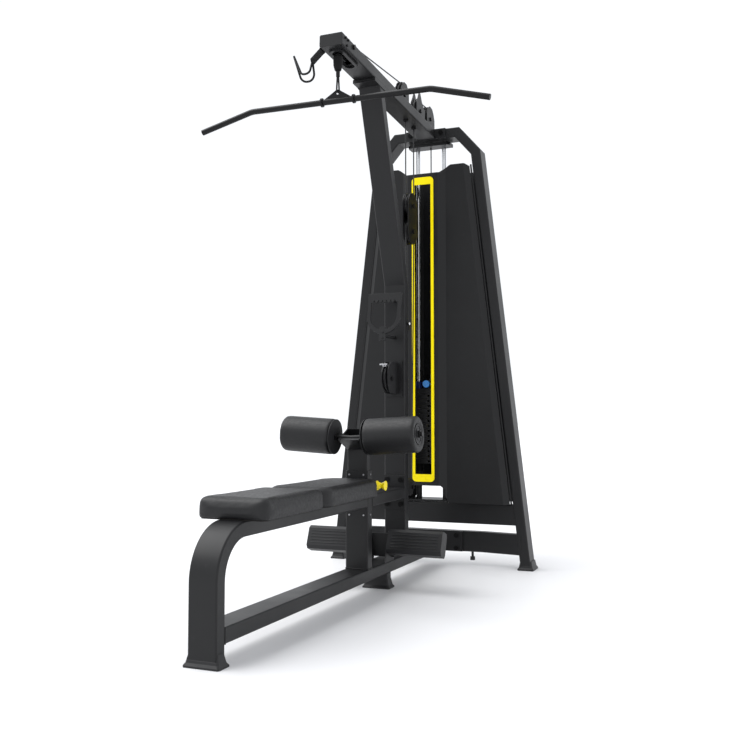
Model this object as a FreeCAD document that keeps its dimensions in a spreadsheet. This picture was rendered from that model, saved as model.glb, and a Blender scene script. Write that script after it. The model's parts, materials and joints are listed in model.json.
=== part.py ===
# Lat pulldown and low row machine with a weight stack tower.
# Frame: +Y from the bench towards the tower, +X to the right of a sitter who faces the tower,
# +Z up. Origin on the floor under the middle of the machine.
import FreeCAD, Part
import Sketcher
import math
import os
import re

vec = FreeCAD.Vector
doc = FreeCAD.newDocument("lat_pulldown")
sheet = doc.addObject("Spreadsheet::Sheet", "dims")

# Driving dimensions in millimetres (angles in degrees). Distances "back" are measured
# from the front face of the bench's front post; centre_back is where the origin lies.
DIMENSIONS = {
    "centre_back": 1111.875,
    # steel sections
    "tube_wide": 100, "tube_deep": 50, "wall": 3, "corner": 6, "plate": 8, "bracket": 5,
    # bench
    "bench_low": 367, "bend_radius": 148, "post_start": 10, "sleeve_front": 1155, "sleeve_top": 515,
    "base_low": 64, "base_end": 2082,
    # mast
    "mast_front": 1596, "kink_rise": 1346.5, "mast_lean": 20.2, "mast_reach": 860,
    "bench_flange_low": 318, "bench_flange_tall": 155,
    "slot_low": 846, "slot_tall": 140, "slot_wide": 32,
    # overhead beam
    "head_front": 894, "head_low": 2208, "beam_slope": 2.7, "beam_long": 1152.4,
    "ring_wide": 66, "ring_long": 190, "ring_thick": 9, "ring_slot": 40,
    # tower
    "leg_front": 2056, "leg_foot": 495.5, "leg_slope": 0.1142, "bend_side": 259.5, "bend_rise": 2066,
    "arch_side": 163, "arch_rise": 2177, "leg_start": 14,
    "crossbeam_low": 211, "lower_crossbeam_low": 70, "crossbeam_back": 2060,
    "kick_side": 270, "kick_back": 2115, "kick_end_side": 480, "kick_end_back": 2080,
    # feet
    "foot_flare": 13, "foot_rise": 42, "foot_lip": 6,
    "middle_foot_back": 1395, "stud_side": 216, "stud_radius": 6, "stud_pad_radius": 12, "stud_low": 27,
    "stud_high": 44,
    # shroud
    "strip_side": 79, "bevel_side": 114, "strip_front": 2000, "wing_front": 2021, "sheet_thick": 2,
    "fold_side": 434, "edge_strip": 26, "edge_step": 22, "shroud_low": 312, "shroud_shoulder": 2003,
    "strip_top": 1965, "rear_strip_top": 1995, "shoulder_side": 128, "arch_side_low": 106,
    "arch_top_side": 86, "arch_top": 396,
    "rear_shift": 226,
    "window_side": 57, "window_low": 415, "window_high": 1945, "rim_side": 14, "rim_end": 37,
    "rim_thick": 6, "rim_radius": 20,
    # weight stack
    "rod_side": 70.5, "rod_back": 2135, "rod_radius": 11, "rod_low": 322, "rod_high": 2133,
    "weight_side": 110, "weight_deep": 112, "weight_tall": 24.6, "weight_pitch": 25.4,
    "stack_low": 500, "weight_count": 14, "rod_hole": 13, "selector_radius": 12, "selector_hole": 13.5,
    "pin_radius": 5, "pin_hole": 6, "pin_rise": 902, "pin_front": 2060, "pin_knob_radius": 18,
    "pin_knob_long": 20, "block_side": 25, "block_front": 2108, "block_tall": 44,
    "bush_radius": 17, "bush_tall": 38, "running_gap": 0.05, "carrier_low": 856,
    "bumper_radius": 21, "bumper_tall": 40, "spacer_radius": 15,
    "base_plate_side": 130, "base_plate_deep": 140,
    # pulleys: one size throughout
    "pulley_radius": 62, "pitch_radius": 56.5, "pulley_wide": 20, "hub_radius": 16, "axle_radius": 6,
    "groove_radius": 5, "web_half": 5, "side_gap": 1.5, "axle_gap": 0.06, "bearing_gap": 0.3,
    # the head pulley is smaller, so that the cable's stop sleeve clears it
    "head_radius": 50, "head_pitch": 45, "head_back": 1008, "head_rise": 2236.5, "first_back": 1695,
    "first_rise": 2268,
    "block_back": 1808.5, "block_upper": 1758, "block_lower": 1632,
    "second_back": 1922, "second_rise": 2260, "third_back": 2078.5, "third_rise": 2266,
    "low_back": 1788.5, "low_rise": 405, "low_radius": 42, "low_pitch": 37, "mast_pulley_rise": 910, "exit_back": 1514, "anchor_rise": 1166,
    "cable_radius": 3, "cable_hole": 7, "stop_reach": 41, "stop_radius": 8,
    # lat bar and its link
    "bar_radius": 12, "bar_wall": 3, "bar_rise": 2007.5, "bar_bend_side": 388, "bar_end_side": 622.6,
    "bar_end_rise": 1945.3, "bar_bend_radius": 90, "bar_turn": 1.9, "collar_side": 69, "collar_radius": 18,
    "collar_wide": 8,
    "tab_side": 62, "tab_top": 2052, "tab_thick": 8,
    "link_low": 2041, "link_top": 2110,
    "link_side": 12, "link_tip_side": 6, "link_wire": 3.4, "swivel_radius": 8, "swivel_tall": 24,
    "swivel_pin": 3, "sleeve_low": 2131, "sleeve_high": 2196, "sleeve_radius": 19.5, "sleeve_tip": 13,
    "sleeve_shoulder": 12,
    # knee pad assembly
    "post_wide": 88, "post_deep": 38, "post_low": 170, "post_top": 606, "fork_rise": 652,
    "fork_back": 1096, "fork_side": 46, "fork_lip": 645, "fork_high": 688, "fork_front": 1066,
    "fork_rear": 1160, "fork_wall": 5,
    "roller_radius": 75, "roller_inner": 69, "roller_long": 227, "roller_tilt": 3.5,
    "roller_cap": 3, "recess_radius": 46, "recess_deep": 10, "shaft_radius": 10, "shaft_long": 310,
    "knob_rise": 456, "knob_back": 1182, "knob_out": 80, "knob_long": 38, "knob_radius": 20, "screw_radius": 3.6,
    # seats
    "seat_side": 130, "seat_low": 417, "seat_top": 488, "board_thick": 12.5, "board_inset": 10,
    "seat_front": 153,
    "seat_split": 590, "seat_gap": 7, "seat_back": 1145, "seat_corner": 30, "seat_rear_corner": 92,
    "seat_joint_corner": 58,
    # footplates, hanger, handle hook
    "footplate_back": 1341, "footplate_side": 309, "footplate_inner": 66, "footplate_tall": 104,
    "footplate_deep": 44, "footplate_rise": 209, "footplate_tilt": 21,
    "hanger_side": 80, "hanger_top": 1292, "hanger_low": 1104, "hanger_front": 1480, "hanger_thick": 8,
    "hanger_tilt": 11,
}

for row, (alias, value) in enumerate(DIMENSIONS.items(), start=1):
    sheet.set(f"A{row}", alias)
    sheet.set(f"B{row}", str(value))
    sheet.setAlias(f"B{row}", alias)
doc.recompute()

WORDS = re.compile(r"\b(" + "|".join(sorted(DIMENSIONS, key=len, reverse=True)) + r")\b")
TURNS = {
    "x": FreeCAD.Rotation(vec(0, 1, 0), 90),
    "y": FreeCAD.Rotation(vec(1, 0, 0), -90),
    "z": FreeCAD.Rotation(),
}
FACES = {
    "top": FreeCAD.Rotation(),                              # outline in X, Y; thickness up
    "front": FreeCAD.Rotation(vec(1, 0, 0), 90),            # outline in X, Z; thickness to -Y
    "side": FreeCAD.Rotation(vec(1, 1, 1), 120),            # outline in Y, Z; thickness to +X
}
nodes = {}


def size(alias):
    """A driving dimension as a number, for shapes that are worked out in this script."""
    return float(sheet.get(alias))


def bind(item, prop, text):
    item.setExpression(prop, WORDS.sub(r"dims.\1", str(text)))


def place(item, at, turn=None):
    """Bind a placement to three expressions; the second is measured back from the front post."""
    if turn is not None:
        item.Placement = FreeCAD.Placement(vec(), turn)
    bind(item, "Placement.Base.x", at[0])
    bind(item, "Placement.Base.y", f"({at[1]}) - centre_back")
    bind(item, "Placement.Base.z", at[2])
    return item


def box(sizes, at, turn=None):
    item = doc.addObject("Part::Box", "box")
    for prop, text in zip(("Length", "Width", "Height"), sizes):
        bind(item, prop, text)
    return place(item, at, turn)


def cylinder(radius, long, at, axis="z"):
    item = doc.addObject("Part::Cylinder", "cylinder")
    bind(item, "Radius", radius)
    bind(item, "Height", long)
    return place(item, at, TURNS[axis])


def cone(low_radius, high_radius, long, at, axis="z"):
    item = doc.addObject("Part::Cone", "cone")
    bind(item, "Radius1", low_radius)
    bind(item, "Radius2", high_radius)
    bind(item, "Height", long)
    return place(item, at, TURNS[axis])


def cut(base, *tools):
    for tool in tools:
        item = doc.addObject("Part::Cut", "cut")
        item.Base = base
        item.Tool = tool
        base = item
    return base


def fuse(*parts):
    item = doc.addObject("Part::MultiFuse", "fuse")
    item.Shapes = list(parts)
    return item


def common(base, tool):
    item = doc.addObject("Part::Common", "common")
    item.Base = base
    item.Tool = tool
    return item


def group(*parts):
    item = doc.addObject("Part::Compound", "group")
    item.Links = list(parts)
    return item


def feature(shape):
    item = doc.addObject("Part::Feature", "shape")
    item.Shape = shape
    return item


def node(name, item):
    """Name a finished sub-part; its label names its file."""
    item.Label = name
    nodes[name] = item
    return item


def rounded(item, direction, radius):
    """Fillet every straight edge of the item that runs along one direction."""
    doc.recompute()
    edges = []
    for index, edge in enumerate(item.Shape.Edges, start=1):
        if edge.Curve.TypeId != "Part::GeomLine":
            continue
        along = edge.Curve.Direction
        if abs(abs(along.dot(direction)) - 1) < 1e-4:
            edges.append((index, size(radius), size(radius)))
    result = doc.addObject("Part::Fillet", "rounded")
    result.Base = item
    result.Edges = edges
    return result


def outline_sketch(body, outlines, circles=()):
    """Closed straight outlines and circles on the body's XY plane, each bound to the sheet."""
    sketch = body.newObject("Sketcher::SketchObject", "outline")
    plane = [item for item in body.Origin.OriginFeatures if item.Role == "XY_Plane"][0]
    sketch.AttachmentSupport = [(plane, "")]
    sketch.MapMode = "FlatFace"
    for number, outline in enumerate(outlines):
        first = sketch.GeometryCount
        count = len(outline)
        spread = 400 - 40 * number
        corners = []
        for index in range(count):
            angle = 2 * math.pi * index / count
            corners.append(vec(spread * math.cos(angle), spread * math.sin(angle), 0))
        for index in range(count):
            sketch.addGeometry(Part.LineSegment(corners[index], corners[(index + 1) % count]), False)
        for index in range(count):
            follower = first + (index + 1) % count
            sketch.addConstraint(Sketcher.Constraint("Coincident", first + index, 2, follower, 1))
        for index, (across, up) in enumerate(outline):
            pin_point(sketch, first + index, 1, across, up)
    for across, up, radius in circles:
        circle = sketch.addGeometry(Part.Circle(vec(10, 10, 0), vec(0, 0, 1), 3), False)
        pin_point(sketch, circle, 3, across, up)
        rule = sketch.addConstraint(Sketcher.Constraint("Radius", circle, 3.0))
        bind(sketch, f"Constraints[{rule}]", radius)
    return sketch


def pin_point(sketch, geometry, position, across, up):
    for kind, text in (("DistanceX", across), ("DistanceY", up)):
        rule = sketch.addConstraint(Sketcher.Constraint(kind, -1, 1, geometry, position, 1.0))
        bind(sketch, f"Constraints[{rule}]", text)


def plate(face, outlines, circles, thick, at, turn=None):
    """A flat part cut from sheet or plate: a padded sketch facing the top, front or side."""
    body = doc.addObject("PartDesign::Body", "plate")
    sketch = outline_sketch(body, outlines, circles)
    pad = body.newObject("PartDesign::Pad", "pad")
    pad.Profile = sketch
    bind(pad, "Length", thick)
    return place(body, at, turn or FACES[face])


def rectangle(low_across, high_across, low_up, high_up):
    return [(low_across, low_up), (high_across, low_up), (high_across, high_up), (low_across, high_up)]


def tube(sizes, at, along, turn=None):
    """A rectangular tube with rounded long edges and open ends."""
    axis = {"x": vec(1, 0, 0), "y": vec(0, 1, 0), "z": vec(0, 0, 1)}[along]
    inner_sizes = []
    inner_at = []
    for letter, text in zip("xyz", sizes):
        open_end = letter == along
        inner_sizes.append(f"{text} + 2*wall" if open_end else f"{text} - 2*wall")
        inner_at.append("-wall" if open_end else "wall")
    zero = ("0", "centre_back", "0")
    outer = rounded(box(sizes, zero), axis, "corner")
    inner = box(inner_sizes, (inner_at[0], f"{inner_at[1]} + centre_back", inner_at[2]))
    return place(cut(outer, inner), at, turn)


def path(points, bend=0.0):
    """A wire through points with each inner corner turned by an arc of one radius."""
    edges = []
    start = points[0]
    for before, corner, after in zip(points, points[1:], points[2:]):
        into = (corner - before).normalize()
        out = (after - corner).normalize()
        turn = into.getAngle(out)
        if bend == 0.0:
            edges.append(Part.LineSegment(start, corner).toShape())
            start = corner
            continue
        reach = bend * math.tan(turn / 2)
        first = corner - into * reach
        last = corner + out * reach
        inward = (out - into).normalize()
        middle = corner + inward * (bend / math.cos(turn / 2) - bend)
        edges.append(Part.LineSegment(start, first).toShape())
        edges.append(Part.Arc(first, middle, last).toShape())
        start = last
    edges.append(Part.LineSegment(start, points[-1]).toShape())
    return Part.Wire(edges)


def rectangle_wire(centre, across, up, wide, tall, radius):
    """A rounded rectangle wire about a centre, spanned by two unit directions."""
    half_wide = wide / 2 - radius
    half_tall = tall / 2 - radius
    edges = []
    for quarter in range(4):
        signs = [(1, 1), (-1, 1), (-1, -1), (1, -1)]
        side, rise = signs[quarter]
        mid = centre + across * (side * half_wide) + up * (rise * half_tall)
        points = []
        for step in (0.0, 0.5, 1.0):
            angle = (quarter + step) * math.pi / 2
            points.append(mid + across * (radius * math.cos(angle)) + up * (radius * math.sin(angle)))
        next_side, next_rise = signs[(quarter + 1) % 4]
        next_mid = centre + across * (next_side * half_wide) + up * (next_rise * half_tall)
        angle = (quarter + 1) * math.pi / 2
        line_end = next_mid + across * (radius * math.cos(angle)) + up * (radius * math.sin(angle))
        edges.append(Part.Arc(*points).toShape())
        edges.append(Part.LineSegment(points[2], line_end).toShape())
    return Part.Wire(edges)


def swept_tube(spine, across, up, wide, tall):
    """Outer and inner solids of a bent rectangular tube, as two document objects."""
    start = spine.Vertexes[0].Point
    solids = []
    for shrink in (0.0, size("wall")):
        radius = max(size("corner") - shrink, 1.0)
        profile = rectangle_wire(start, across, up, wide - 2 * shrink, tall - 2 * shrink, radius)
        solids.append(feature(spine.makePipeShell([profile], True, False, 1)))
    return solids


def back(distance):
    """A distance behind the front post as a coordinate of the row frame."""
    return distance - size("centre_back")


def rod(spine, radius):
    """A round bar along a smooth wire."""
    start = spine.Edges[0]
    point = start.valueAt(start.FirstParameter)
    direction = start.tangentAt(start.FirstParameter)
    profile = Part.Wire([Part.Circle(point, direction, radius).toShape()])
    return spine.makePipeShell([profile], True, False, 0)


# ---------------------------------------------------------------- bench
def bench_frame():
    middle = size("tube_deep") / 2
    rise = size("bench_low") + middle
    spine = path([
        vec(0, back(middle), size("post_start")),
        vec(0, back(middle), rise),
        vec(0, back(size("sleeve_front")), rise),
    ], size("bend_radius"))
    outer, inner = swept_tube(spine, vec(1, 0, 0), vec(0, 1, 0), size("tube_wide"), size("tube_deep"))
    return cut(outer, inner)


def base_beam():
    return tube(("tube_wide", "base_end - tube_deep", "tube_deep"),
                ("-tube_wide/2", "tube_deep", "base_low"), "y")


def rear_post():
    floor = "base_low + tube_deep"
    post = tube(("tube_wide", "tube_deep", f"sleeve_top - ({floor})"),
                ("-tube_wide/2", "sleeve_front", floor), "z")
    return cut(post, cylinder("pin_radius + axle_gap", "20", ("tube_wide/2 - 10", "knob_back", "knob_rise"), "x"))


def bench_link():
    start = "sleeve_front + tube_deep"
    return tube(("tube_wide", f"mast_front - plate - ({start})", "tube_deep"),
                ("-tube_wide/2", start, "bench_low"), "y")


def hollow_foot(side, back_at, half_side, half_back, top, tube_solid):
    """A flared foot cap with a thin lip on the floor, hollowed for the tube that stands in it."""
    wide = half_side * 2
    deep = half_back * 2
    lip = size("foot_lip")
    flare = size("foot_flare")
    rings = []
    profile = ((0.0, 0.0), (lip, 0.0), (lip + 8, flare * 0.45), (top, flare * 0.92))
    for rise, inset in profile:
        across = wide / 2 - inset
        along = deep / 2 - inset
        bevel = 5.0
        corners = [(across, along - bevel), (across - bevel, along), (bevel - across, along),
                   (-across, along - bevel), (-across, bevel - along), (bevel - across, -along),
                   (across - bevel, -along), (across, bevel - along)]
        points = [vec(side + x, back(back_at) + y, rise) for x, y in corners]
        rings.append(Part.makePolygon(points + [points[0]]))
    solid = Part.makeLoft(rings, True, True)
    return cut(feature(solid), tube_solid)


def feet(bench_outer, tower_outer):
    half_wide = size("tube_wide") / 2
    half_deep = size("tube_deep") / 2
    flare = size("foot_flare")
    rise = size("foot_rise")
    front = hollow_foot(0, half_deep, half_wide + flare, half_deep + flare * 0.6, rise, bench_outer)
    spare = box(("tube_wide", "tube_deep", "base_low"),
                ("-tube_wide/2", "middle_foot_back - tube_deep/2", "post_start"))
    middle = hollow_foot(0, size("middle_foot_back"), half_wide + flare, half_deep + flare * 0.8,
                         rise, spare)
    stub = tube(("tube_wide", "tube_deep", "base_low - post_start"),
                ("-tube_wide/2", "middle_foot_back - tube_deep/2", "post_start"), "z")
    parts = [front, middle, stub]
    for side in (-1, 1):
        foot_centre = side * (size("leg_foot") - 1.5)
        parts.append(hollow_foot(foot_centre, size("leg_front") + half_wide, half_deep + flare + 1,
                                 half_wide + flare * 0.6, rise, tower_outer))
    for sign in ("-", ""):
        stud = cylinder("stud_radius", "lower_crossbeam_low - stud_high",
                        (f"{sign}stud_side", "kick_back", "stud_high"))
        pad = cylinder("stud_pad_radius", "stud_high - stud_low", (f"{sign}stud_side", "kick_back", "stud_low"))
        parts.append(fuse(stud, pad))
    return group(*parts)


# ---------------------------------------------------------------- mast and overhead beam
def mast(beam_trim):
    lean = math.radians(size("mast_lean"))
    middle = back(size("mast_front") + size("tube_deep") / 2)
    kink = vec(0, middle, size("kink_rise"))
    reach = size("mast_reach")
    spine = path([
        vec(0, middle, size("base_low") + size("tube_deep")),
        kink,
        kink + vec(0, -math.sin(lean), math.cos(lean)) * reach,
    ])
    outer, inner = swept_tube(spine, vec(1, 0, 0), vec(0, 1, 0), size("tube_wide"), size("tube_deep"))
    slot = box(("slot_wide", "3*tube_deep", "slot_tall"), ("-slot_wide/2", "mast_front - tube_deep", "slot_low"))
    return cut(outer, inner, beam_trim, slot)


def slanted(item):
    item.Placement = FreeCAD.Placement(vec(), FreeCAD.Rotation(vec(1, 0, 0), -size("beam_slope")))
    return place(item, ("0", "head_front", "head_low"))


def level_box(sizes, at):
    """A box drawn in the beam's own level frame, whose origin is the lower front edge."""
    return box(sizes, (at[0], f"{at[1]} + centre_back", at[2]))


def beam_pulley_slots():
    """The head pulley's slot runs right through the beam, the other two only through its upper wall."""
    slots = []
    for centre, long, low in (("head_back + 7", "144", "-tube_deep"), ("first_back", "132", "tube_deep/2"),
                              ("second_back", "132", "tube_deep/2")):
        slots.append(level_box(("slot_wide", long, f"2*tube_deep - ({low})"),
                               ("-slot_wide/2", f"{centre} - head_front - {long}/2", low)))
    return slots


def overhead_beam():
    outer = rounded(level_box(("tube_wide", "beam_long", "tube_deep"), ("-tube_wide/2", "0", "0")),
                    vec(0, 1, 0), "corner")
    inner = level_box(("tube_wide - 2*wall", "beam_long", "tube_deep - 2*wall"),
                      ("wall - tube_wide/2", "wall", "wall"))
    holes = []
    for centre in ("first_back + pitch_radius", "second_back - pitch_radius"):
        hole = doc.addObject("Part::Cylinder", "cylinder")
        bind(hole, "Radius", "cable_hole")
        bind(hole, "Height", "4*tube_deep")
        place(hole, ("0", f"{centre} - head_front + centre_back", "-2*tube_deep"))
        holes.append(hole)
    beam = slanted(cut(outer, inner, *beam_pulley_slots(), *holes))
    return cut(beam, cylinder("axle_radius", "2*tube_wide", ("-tube_wide", "head_back", "head_rise"), "x"))


def cable_guard():
    """The racetrack guard welded round the head pulley's slot under the beam."""
    centre = "head_back + 11 - head_front"
    half_long = "(ring_long/2 - ring_wide/2)"
    rounds = []
    for radius in ("ring_wide/2", "ring_slot/2"):
        shapes = [level_box((f"2*{radius}", f"2*{half_long}", "ring_thick"),
                            (f"-({radius})", f"{centre} - {half_long}", "-ring_thick"))]
        for sign in ("-", "+"):
            disc = doc.addObject("Part::Cylinder", "cylinder")
            bind(disc, "Radius", radius)
            bind(disc, "Height", "ring_thick")
            place(disc, ("0", f"{centre} {sign} {half_long} + centre_back", "-ring_thick"))
            shapes.append(disc)
        rounds.append(fuse(*shapes))
    return slanted(cut(rounds[0], rounds[1]))


def cable_grommets():
    """Bushes round the two holes where the cable passes through the beam's lower wall."""
    parts = []
    slope = math.tan(math.radians(size("beam_slope")))
    for centre in (size("first_back") + size("pitch_radius"), size("second_back") - size("pitch_radius")):
        under = size("head_low") - (centre - size("head_front")) * slope
        outer = Part.makeCylinder(12, 7, vec(0, back(centre), under - 7.8))
        hole = Part.makeCylinder(size("cable_hole"), 30, vec(0, back(centre), under - 20))
        parts.append(feature(outer.cut(hole)))
    return parts


def welded_plates():
    """Bolting plates at the base, bench, mast top (a pair) and beam end, and the cable guard."""
    base = plate("front", [rectangle("-173", "173", "0", "tube_wide")], [], "plate",
                 ("0", "base_end + plate", "lower_crossbeam_low"))
    bench = plate("front", [rectangle("-tube_wide/2", "tube_wide/2", "0", "bench_flange_tall")], [],
                  "plate", ("0", "mast_front", "bench_flange_low"))
    rear = plate("front", [rectangle("-105", "105", "0", "tube_deep")], [], "plate",
                 ("0", "leg_front", "arch_rise - tube_deep/2"))
    top = []
    for index in (1, 2):
        top.append(level_box(("tube_wide + 4", "170", "plate"),
                             ("-tube_wide/2 - 2", "340", f"-{index}*plate")))
    pair = slanted(group(*top))
    return group(base, bench, rear, pair, cable_guard())


def bolt(at, axis, long):
    """A socket-head cap screw's head and washer standing on a face."""
    washer = cylinder("axle_radius*1.9", "2", at, axis)
    head = cylinder("axle_radius*1.25", long, at, axis)
    return fuse(washer, head)


def frame_bolts():
    parts = []
    for side in ("-142", "142"):
        for rise in ("86", "149"):
            parts.append(bolt((side, "base_end - 9", rise), "y", "9"))
    for side in ("-33", "33"):
        for rise in ("342", "452"):
            parts.append(bolt((side, "mast_front - plate - 9", rise), "y", "9"))
    for side in ("-82", "82"):
        parts.append(bolt((side, "leg_front - plate - 9", "arch_rise + 3"), "y", "9"))
    for distance, rise in ((925, 2244), (951, 2243), (938, 2216)):
        parts.append(side_screw(1, distance, rise))
    for distance, rise in ((909, 2230), (909, 2209)):
        parts.append(side_screw(-1, distance, rise))
    return group(*parts)


def side_screw(side, distance, rise):
    """A small screw head on a side of the overhead beam."""
    half = size("tube_wide") / 2
    return feature(Part.makeCylinder(5, 5, vec(side * half, back(distance), rise), vec(side, 0, 0)))


# ---------------------------------------------------------------- tower
def tower_spine():
    middle = back(size("leg_front") + size("tube_wide") / 2)
    foot = size("leg_foot") - size("leg_slope") * size("leg_start")
    right = [
        vec(foot, middle, size("leg_start")),
        vec(size("bend_side"), middle, size("bend_rise")),
        vec(size("arch_side"), middle, size("arch_rise")),
    ]
    left = [vec(-point.x, point.y, point.z) for point in reversed(right)]
    return path(right + left)


def tower_solids():
    spine = tower_spine()
    direction = (spine.Vertexes[1].Point - spine.Vertexes[0].Point).normalize()
    across = vec(0, 1, 0).cross(direction)
    return swept_tube(spine, across, vec(0, 1, 0), size("tube_deep"), size("tube_wide"))


def tower_frame():
    """Both legs and the arch, with the hole that the stack's cable drops through."""
    hole = cylinder("cable_hole", "2*tube_wide", ("0", "rod_back", "arch_rise - tube_wide"))
    return cut(tower_outer, tower_inner, hole)


def upper_crossbeam(tower_outer):
    outer = rounded(box(("2*kick_end_side", "tube_deep", "tube_wide"),
                        ("-kick_end_side", "crossbeam_back", "crossbeam_low")), vec(1, 0, 0), "corner")
    inner = box(("2*kick_end_side", "tube_deep - 2*wall", "tube_wide - 2*wall"),
                ("-kick_end_side", "crossbeam_back + wall", "crossbeam_low + wall"))
    return cut(outer, inner, tower_outer, *outside_legs())


def outside_legs():
    """Two blocks that trim whatever passes outside the tower's legs."""
    blocks = []
    for sign in ("-1", "1"):
        corner = "leg_foot" if sign == "1" else "-leg_foot - 300"
        lean = math.degrees(math.atan(size("leg_slope")))
        turn = FreeCAD.Rotation(vec(0, 1, 0), -lean if sign == "1" else lean)
        block = doc.addObject("Part::Box", "box")
        bind(block, "Length", "300")
        bind(block, "Width", "400")
        bind(block, "Height", "2400")
        shift = turn.multVec(vec(0 if sign == "1" else -300, 0, 0))
        block.Placement = FreeCAD.Placement(vec(), turn)
        bind(block, "Placement.Base.x", f"{sign}*leg_foot + {shift.x:.6f}")
        bind(block, "Placement.Base.y", "leg_front - 150 - centre_back")
        bind(block, "Placement.Base.z", f"{shift.z:.6f}")
        blocks.append(block)
    return blocks


def lower_crossbeam(tower_outer):
    rise = size("lower_crossbeam_low") + size("tube_wide") / 2
    right = [vec(size("kick_side"), back(size("kick_back")), rise),
             vec(size("kick_end_side"), back(size("kick_end_back")), rise)]
    left = [vec(-point.x, point.y, point.z) for point in reversed(right)]
    spine = path(left + right)
    direction = (left[1] - left[0]).normalize()
    across = vec(0, 0, 1).cross(direction)
    outer, inner = swept_tube(spine, across, vec(0, 0, 1), size("tube_deep"), size("tube_wide"))
    return cut(outer, inner, tower_outer, *outside_legs())


# ---------------------------------------------------------------- shroud
def facet(points, thick):
    """One flat facet of folded sheet, thickened straight back."""
    face = Part.Face(Part.makePolygon(points + [points[0]]))
    return face.extrude(vec(0, thick, 0))


def folded_sheet(front_sign, shift):
    """The folded cover: raised centre strip, two bevels, two wings and two leaning edge strips."""
    thick = size("sheet_thick")
    high = size("shroud_shoulder") + 30
    low = size("shroud_low") - 30
    strip = size("strip_side")
    bevel = size("bevel_side")
    lines = {
        "strip": (strip, strip, size("strip_front")),
        "bevel": (bevel, bevel, size("wing_front")),
    }
    slope = size("leg_slope")
    fold = size("fold_side")
    edge = fold + size("edge_strip")
    lines["fold"] = (fold - slope * low, fold - slope * high, size("wing_front"))
    lines["edge"] = (edge - slope * low, edge - slope * high, size("wing_front") + size("edge_step"))
    names = ["strip", "bevel", "fold", "edge"]

    def depth(value):
        return back(value if front_sign > 0 else 2 * size("leg_front") + shift - value)

    facets = [[vec(-strip, depth(lines["strip"][2]), low), vec(strip, depth(lines["strip"][2]), low),
               vec(strip, depth(lines["strip"][2]), high), vec(-strip, depth(lines["strip"][2]), high)]]
    for first, second in zip(names, names[1:]):
        a_low, a_high, a_back = lines[first]
        b_low, b_high, b_back = lines[second]
        for side in (-1, 1):
            facets.append([
                vec(side * a_low, depth(a_back), low),
                vec(side * b_low, depth(b_back), low),
                vec(side * b_high, depth(b_back), high),
                vec(side * a_high, depth(a_back), high),
            ])
    solids = [facet(points, thick * front_sign) for points in facets]
    return solids[0].multiFuse(solids[1:]).removeSplitter()


def silhouette(with_window):
    """The cover's outline seen from the front, as a thick plate to cut the folded sheet with."""
    top = "shroud_shoulder"
    right = [
        ("arch_side_low + 20", "shroud_low"), ("2*leg_foot", "shroud_low"), ("2*leg_foot", top),
        ("bend_side - 20", f"{top} - 16"), ("bend_side - 48", top), ("shoulder_side + 12", top),
        ("shoulder_side", f"{top} - 6"), ("strip_side + 6", "strip_top" if with_window else "rear_strip_top"),
    ]
    arch = [("arch_top_side", "arch_top"), ("arch_side_low", "arch_top - 20"), ("arch_side_low", "arch_top - 52")]
    outline = arch + right
    mirrored = [(f"-({across})", up) for across, up in reversed(outline)]
    outlines = [outline + mirrored]
    if with_window:
        outlines.append(rectangle("rim_side - window_side", "window_side - rim_side",
                                  "window_low + rim_end", "window_high - rim_end"))
    return plate("front", outlines, [], "400", ("0", "leg_front + 300", "0"))


def front_shroud():
    return common(feature(folded_sheet(1, 0)), silhouette(True))


def rear_shroud():
    return common(feature(folded_sheet(-1, size("rear_shift") - size("tube_wide"))), silhouette(False))


def window_trim():
    outer = rounded(plate("front", [rectangle("-window_side", "window_side", "window_low", "window_high")],
                          [], "rim_thick", ("0", "strip_front", "0")), vec(0, 1, 0), "rim_radius")
    inner = plate("front", [rectangle("rim_side - window_side", "window_side - rim_side",
                                      "window_low + rim_end", "window_high - rim_end")],
                  [], "3*rim_thick", ("0", "strip_front + rim_thick", "0"))
    return cut(outer, inner)


# ---------------------------------------------------------------- weight stack
def guide_rods():
    return group(*[cylinder("rod_radius", "rod_high - rod_low", (f"{sign}rod_side", "rod_back", "rod_low"))
                   for sign in ("-", "")])


def guide_rod_plates():
    """The slotted plate that holds the rods' tops and the floor plate with its spacers."""
    holes = [("-rod_side", "0", "rod_radius"), ("rod_side", "0", "rod_radius"), ("0", "0", "cable_hole")]
    outline = [("-112", "-30"), ("-98", "-46"), ("98", "-46"), ("112", "-30"), ("112", "25"), ("-112", "25")]
    top = plate("top", [outline], holes, "16", ("0", "rod_back", "rod_high - 4"))
    floor = plate("top", [rectangle("-base_plate_side", "base_plate_side", "-70", "base_plate_deep - 70")],
                  holes[:2], "plate", ("0", "rod_back", "rod_low - plate"))
    spacers = []
    for sign in ("-", ""):
        outer = cylinder("spacer_radius", "stack_low - bumper_tall - rod_low",
                         (f"{sign}rod_side", "rod_back", "rod_low"))
        inner = cylinder("rod_radius", "300", (f"{sign}rod_side", "rod_back", "rod_low"))
        spacers.append(cut(outer, inner))
    return group(top, floor, *spacers)


def buffers_and_grommets():
    """Rubber stops under the weight stack and the cable's bushes in the overhead beam."""
    parts = cable_grommets()
    for sign in ("-", ""):
        at = (f"{sign}rod_side", "rod_back", "stack_low - bumper_tall")
        parts.append(cut(cylinder("bumper_radius", "bumper_tall", at), cylinder("rod_radius", "300", at)))
    return group(*parts)


def weight_outline():
    cut_corner = "6"
    side = "weight_side"
    half = "weight_deep/2"
    quarter = [(f"-{side}", f"{cut_corner} - {half}"), (f"{cut_corner} - {side}", f"-{half}"),
               (f"{side} - {cut_corner}", f"-{half}"), (side, f"{cut_corner} - {half}"),
               (side, f"{half} - {cut_corner}"), (f"{side} - {cut_corner}", half),
               (f"{cut_corner} - {side}", half), (f"-{side}", f"{half} - {cut_corner}")]
    return quarter


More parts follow.
